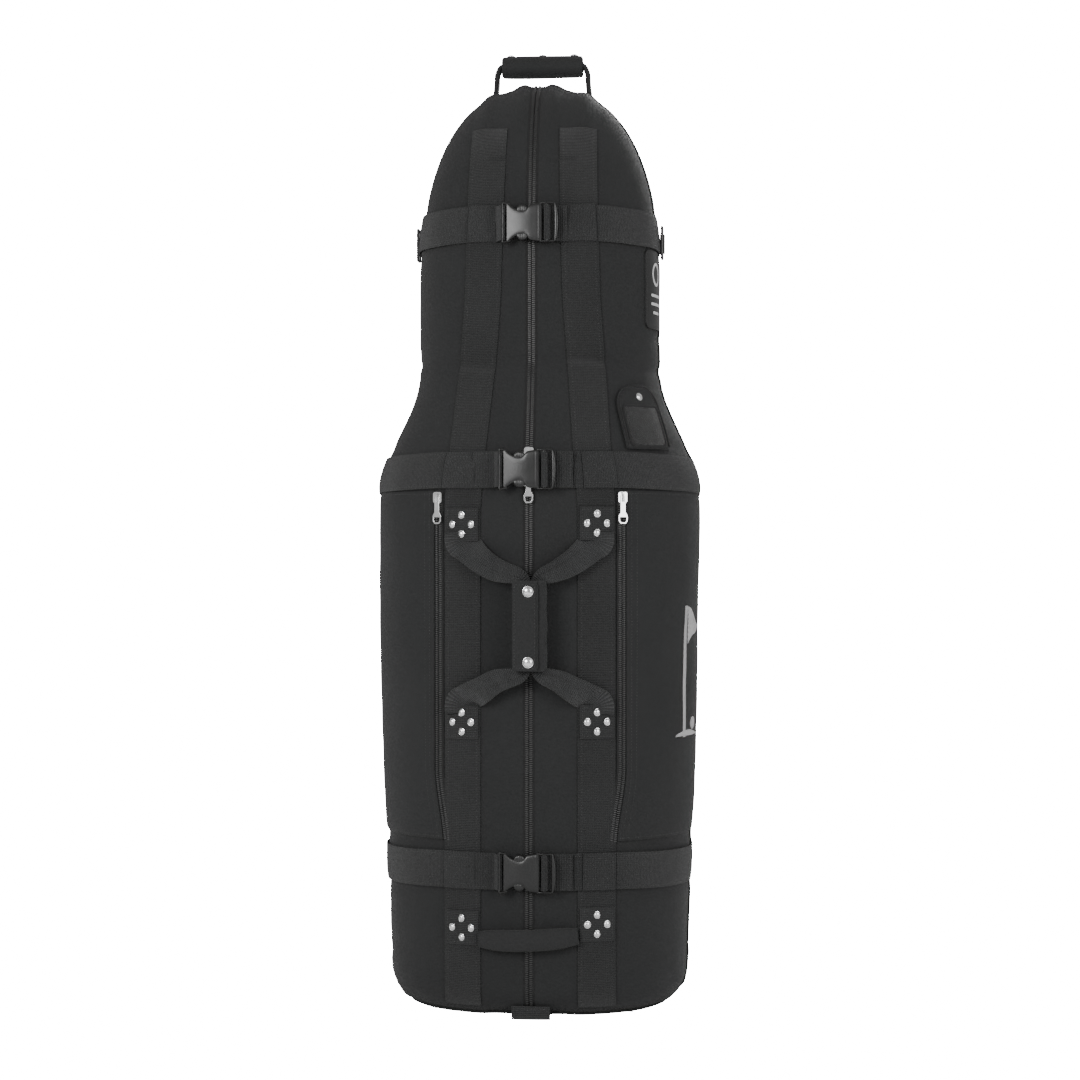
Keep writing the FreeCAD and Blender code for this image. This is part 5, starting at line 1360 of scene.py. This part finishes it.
def side_patch(centre_y, centre_z, s, t, offset):
    """Point on the right side's cloth, seen square on from outside: s sideways and t up from a centre.

    The distance along the centre's own normal that meets the section is found by halving an interval."""
    width, depth, _ = profile(run_at(centre_z), 0.0)
    centre_x = width * (1 - (abs(centre_y) / depth) ** POWER) ** (1 / POWER)
    lean = np.array([(centre_x / width) ** (POWER - 1) / width,
                     np.sign(centre_y) * (abs(centre_y) / depth) ** (POWER - 1) / depth])
    lean /= np.linalg.norm(lean)
    s, t = np.broadcast_arrays(np.asarray(s, float), np.asarray(t, float))
    run = run_at(centre_z + t)
    width, depth, _ = profile(run, 0.0)
    near, far = np.full(s.shape, -0.09), np.full(s.shape, 0.05)
    for _ in range(30):
        middle = (near + far) / 2
        x = centre_x - lean[1] * s + lean[0] * middle
        y = centre_y + lean[0] * s + lean[1] * middle
        inside = (np.abs(x) / width) ** POWER + (np.abs(y) / depth) ** POWER < 1
        near, far = np.where(inside, middle, near), np.where(inside, far, middle)
    cosine = np.sign(x) * (np.abs(x) / width) ** (POWER / 2)
    angle = np.arctan2(np.sign(y) * (np.abs(y) / depth) ** (POWER / 2), cosine)
    on_pocket = np.where((run > POCKET_LOW) & (run < POCKET_HIGH), pocket_fill(angle, run, 1) + 0.0019, 0.0)
    return cloth(angle, run, offset + on_pocket)


def rounded_half(t, low, high, half, radius):
    """Half the width of a rounded rectangle at height t."""
    reach = np.clip(np.maximum(t - (high - radius), (low + radius) - t) / radius, 0, 1)
    return half - radius * (1 - np.sqrt(1 - reach ** 2))


def side_sheet(name, centre, low, high, half, radius, inner, outer, finish, body, rows=49, columns=31,
               crown=0.0, round_low=True):
    """Rounded rectangle of sheet on the right side's cloth."""
    t = np.linspace(low, high, rows)[None]
    share = np.linspace(-1, 1, columns)[:, None]
    bottom = low if round_low else low - 10 * radius
    s = share * rounded_half(t, bottom, high, half, radius)
    t = np.broadcast_to(t, s.shape)
    top = side_patch(*centre, s, t, outer + crown * (1 - share ** 8))
    under = side_patch(*centre, s, t, inner)
    return slab(name, top, under, spread(top)[..., ::-1], finish, body), top, unit(top - under)


def pale_print_finish(name, level):
    """Pale moulded ink with faint wear."""
    finish = Finish(name, Roughness=0.55)
    where, _ = finish.place("Object")
    rub = finish.noise(where, 150.0, 4.0)
    return finish.wear(colour=finish.blend(rub, grey(level * 0.8), grey(level)), height=rub, depth=0.0001)


pale_ink = pale_print_finish("pale_ink", 0.62)
BADGE = (-0.044, 1.005)
badge, top, out = side_sheet("badge_pad", BADGE, -0.055, 0.055, 0.030, 0.008, 0.0003, 0.0022, badge_rubber,
                             "case", crown=0.0006)
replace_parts(badge, "badge_patch")
border = [np.concatenate([grid[1, 2:-2], grid[1:-1, -3], grid[-2, -3:1:-1], grid[-2:0:-1, 2]])
          for grid in (top, out)]
stitches("badge_stitches", [border], dark_thread, "case", 0.0036, 0.0024)
turn = np.linspace(0, 2 * np.pi, 49)[:, None]
reach = np.linspace(0.0125, 0.0165, 4)[None]
ring_s, ring_t = reach * np.cos(turn) * 0.85, 0.022 + reach * np.sin(turn)
raised = side_patch(*BADGE, ring_s, ring_t, 0.0034)
sunk = side_patch(*BADGE, ring_s, ring_t, 0.0020)
slab("badge_ring", raised[:-1], sunk[:-1], spread(raised[:-1]), pale_ink, "case", wrap=True)
bars = ((-0.010, -0.006, 0.018), (-0.022, -0.018, 0.018), (-0.034, -0.030, 0.012))
for number, (low, high, half) in enumerate(bars):
    side_sheet("badge_bar_%d" % number, BADGE, low, high, half, 0.0012, 0.0020, 0.0033, pale_ink, "case",
               5, 25)

# ---------------------------------------------------------------- embroidered mark
# A generic flag and ball, embroidered in near-white satin stitch low on the right side.


def satin_finish(name, level):
    """Satin stitch: shiny parallel threads laid side by side, with painted highlight on their crowns and
    painted shade between them.
    """
    finish = Finish(name, Sheen_Weight=0.3, Sheen_Roughness=0.3, Specular_IOR_Level=0.5)
    where, (u, v, _) = finish.place("UV")
    thread = ((u + v * 0.35) * (2 * np.pi / 0.0011)).sine()
    patchy = finish.noise(where, 400.0, 3.0)
    # The thread sine lightens the colour on each crown and darkens it between threads: painted highlight and
    # painted shade. Patchy is random tone.
    shade = (0.6 + thread * 0.3 + (patchy - 0.5) * 0.5).limited()
    return finish.wear(colour=finish.blend(shade, grey(level * 0.55), grey(level)),
                       roughness=0.42 + patchy * 0.15, height=thread + patchy * 0.4, depth=0.0006)


mark_thread = satin_finish("mark_thread", 0.86)
MARK = (-0.072, 0.472)


def embroidered(name, s, t):
    """Embroidery over a grid of s and t, domed by 1.1 mm across the first parameter."""
    share = np.linspace(-1, 1, s.shape[0])[:, None]
    top = side_patch(*MARK, s, t, 0.0005 + 0.0009 * np.sqrt(np.clip(1 - share ** 2, 0, 1)) + 0 * s)
    under = side_patch(*MARK, s, t, -0.0010)
    piece = slab(name, top, under, spread(top)[..., ::-1], mark_thread, "case")
    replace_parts(piece, "side_emblem")


share = np.linspace(-1, 1, 9)[:, None]
climb = np.linspace(-0.091, 0.091, 90)[None]
embroidered("mark_pole", -0.017 + 0.0032 * share + 0.014 * (climb / 0.18) ** 2, climb + 0 * share)
across = np.linspace(0, 1, 40)[None]
flag_half = 0.026 * (1 - across * 0.96)
embroidered("mark_pennant", -0.0125 + 0.046 * across + 0 * share + 0.0035,
            0.064 + flag_half * share + 0.003 * np.sin(across * 6))
sweep = np.linspace(0, 1, 40)[None]
embroidered("mark_green", -0.034 + 0.062 * sweep + 0 * share,
            -0.0885 + (0.0030 * np.sin(np.pi * sweep) + 0.0012) * share + 0.003 * np.sin(np.pi * sweep))
turn = np.linspace(-np.pi / 2, np.pi / 2, 24)[None]
embroidered("mark_ball", 0.012 + 0.0088 * share * np.cos(turn) * 0.999,
            -0.073 + 0.0088 * np.sin(turn) + 0 * share)

# ---------------------------------------------------------------- card holder
# A nylon pocket on the right shoulder with a clear vinyl window for a name card, closed at the top by a
# snap; it is sewn on at its lower edge.
HOLDER = (-0.112, 0.8205)
holder_nylon = nylon_finish("holder_nylon", 0.0080, 0.0190, 0.0014, 0.05)
holder, top, out = side_sheet("card_holder_skin", HOLDER, -0.042, 0.046, 0.037, 0.030, 0.0021, 0.0042,
                              holder_nylon, "card_holder", 61, 41, 0.0006, round_low=False)
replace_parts(holder, "card_holder")
border = [np.concatenate([grid[2, 1:-2], grid[2:-2, -3], grid[-3, -3:0:-1]]) for grid in (top, out)]
card_rows = [border] + rows_at(top, out, np.s_[3:-3, 2])
edge = np.concatenate([top[0, 1:-1], top[:, -1], top[-1, -2:0:-1]])
edge_path = path_through(edge[::4], 120)
beam("card_holder_binding", edge_path, out[20, 30], 0.0014, 0.0016, piping_nylon, "card_holder", 2.2, 10)


def vinyl_finish():
    """Clear soft vinyl: glossy, slightly cloudy, a little scuffed."""
    finish = Finish("clear_vinyl", Transmission_Weight=1.0, IOR=1.42, Coat_Weight=0.5)
    where, _ = finish.place("Object")
    scuff = finish.noise(where, 70.0, 4.0)
    return finish.wear(colour=finish.blend(scuff, grey(0.55), grey(0.80)), roughness=0.04 + scuff * 0.10,
                       height=scuff, depth=0.0006)


window, top, out = side_sheet("card_window_sheet", HOLDER, -0.038, 0.018, 0.030, 0.003, 0.0050, 0.0055,
                              vinyl_finish(), "card_holder", 31, 31)
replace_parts(window, "card_window")
card_rows += rows_at(top, out, np.s_[1:-1, 1], np.s_[1:-1, -2], np.s_[1, 1:-1], np.s_[-2, 1:-1])
hems = path_through(np.concatenate([top[0, ::3], top[::3, -1], top[-1, ::-3], top[::-3, 0]]), 140, closed=True)
beam("card_window_hem", hems, out[15, 15], 0.0010, 0.0022, piping_nylon, "card_holder", 2.2, 10, closed=True)
stitches("card_holder_stitches", card_rows, dark_thread, "card_holder", 0.0034, 0.0023)
seat = side_patch(*HOLDER, 0.0, 0.031, 0.0052)
lean = np.cross(side_patch(*HOLDER, 0.004, 0.031, 0.0052) - seat,
                side_patch(*HOLDER, 0.0, 0.035, 0.0052) - seat)
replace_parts(dome_set("card_holder_cap", [dome(seat, lean, 0.0056, 0.0026)], nickel, "card_holder"),
            "card_holder_snap")

# ---------------------------------------------------------------- toe loop
# A folded webbing loop at the bottom of the zipper, held between the piping and the base.
TOE_LOW, TOE_HIGH = (np.array(corner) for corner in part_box("toe_loop"))
toe_x = (TOE_LOW[0] + TOE_HIGH[0]) / 2
toe_front, toe_back = TOE_LOW[1], TOE_HIGH[1]
toe_path = path_through([(toe_x, toe_y, toe_z) for toe_y, toe_z in (
    (toe_front + 0.0018, TOE_HIGH[2] + 0.004), (toe_front + 0.0012, 0.012), (toe_front + 0.0014, 0.006),
    (toe_front + 0.0045, 0.0032), (toe_back - 0.0030, 0.0036), (toe_back - 0.0008, 0.010),
    (toe_back - 0.0010, TOE_HIGH[2]))], 60)
toe, outer, out = ribbon("toe_webbing", toe_path, (-1, 0, 0), 0.0262, 0.0016, arm_webbing, "case", 0.0004)
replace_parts(toe, "toe_loop")
stitches("toe_stitches", rows_at(outer, out, np.s_[1:14, 6], np.s_[1:14, 9]), dark_thread, "case")

# ---------------------------------------------------------------- base, wheels and lining
# The moulded base plate carries two wheel housings; each wheel is a urethane tyre on a moulded hub that
# turns on two steel bearings and an axle bolt. A foam lining stiffens the walls inside.
base_plastic = moulded_finish("base_plastic", 0.022, 0.55, 500, 0.0004)
tyre_urethane = moulded_finish("tyre_urethane", 0.028, 0.62, 220, 0.0003)
wheel_plastic = moulded_finish("wheel_plastic", 0.09, 0.45, 600, 0.0001)
axle_steel = metal_finish("axle_steel", 0.55, 0.32)
lining_foam = moulded_finish("lining_foam", 0.11, 0.85, 500, 0.0004)
carried = {"base_moulding": base_plastic, "wheel_bearings": axle_steel, "wheel_axles": axle_steel,
           "foam_liner": lining_foam}
for side_name in ("left", "right"):
    carried["wheel_tyre_" + side_name] = tyre_urethane
    carried["wheel_hub_" + side_name] = wheel_plastic
for node, finish in carried.items():
    piece = frame["nodes"][node]
    piece.data.materials.clear()
    piece.data.materials.append(finish)
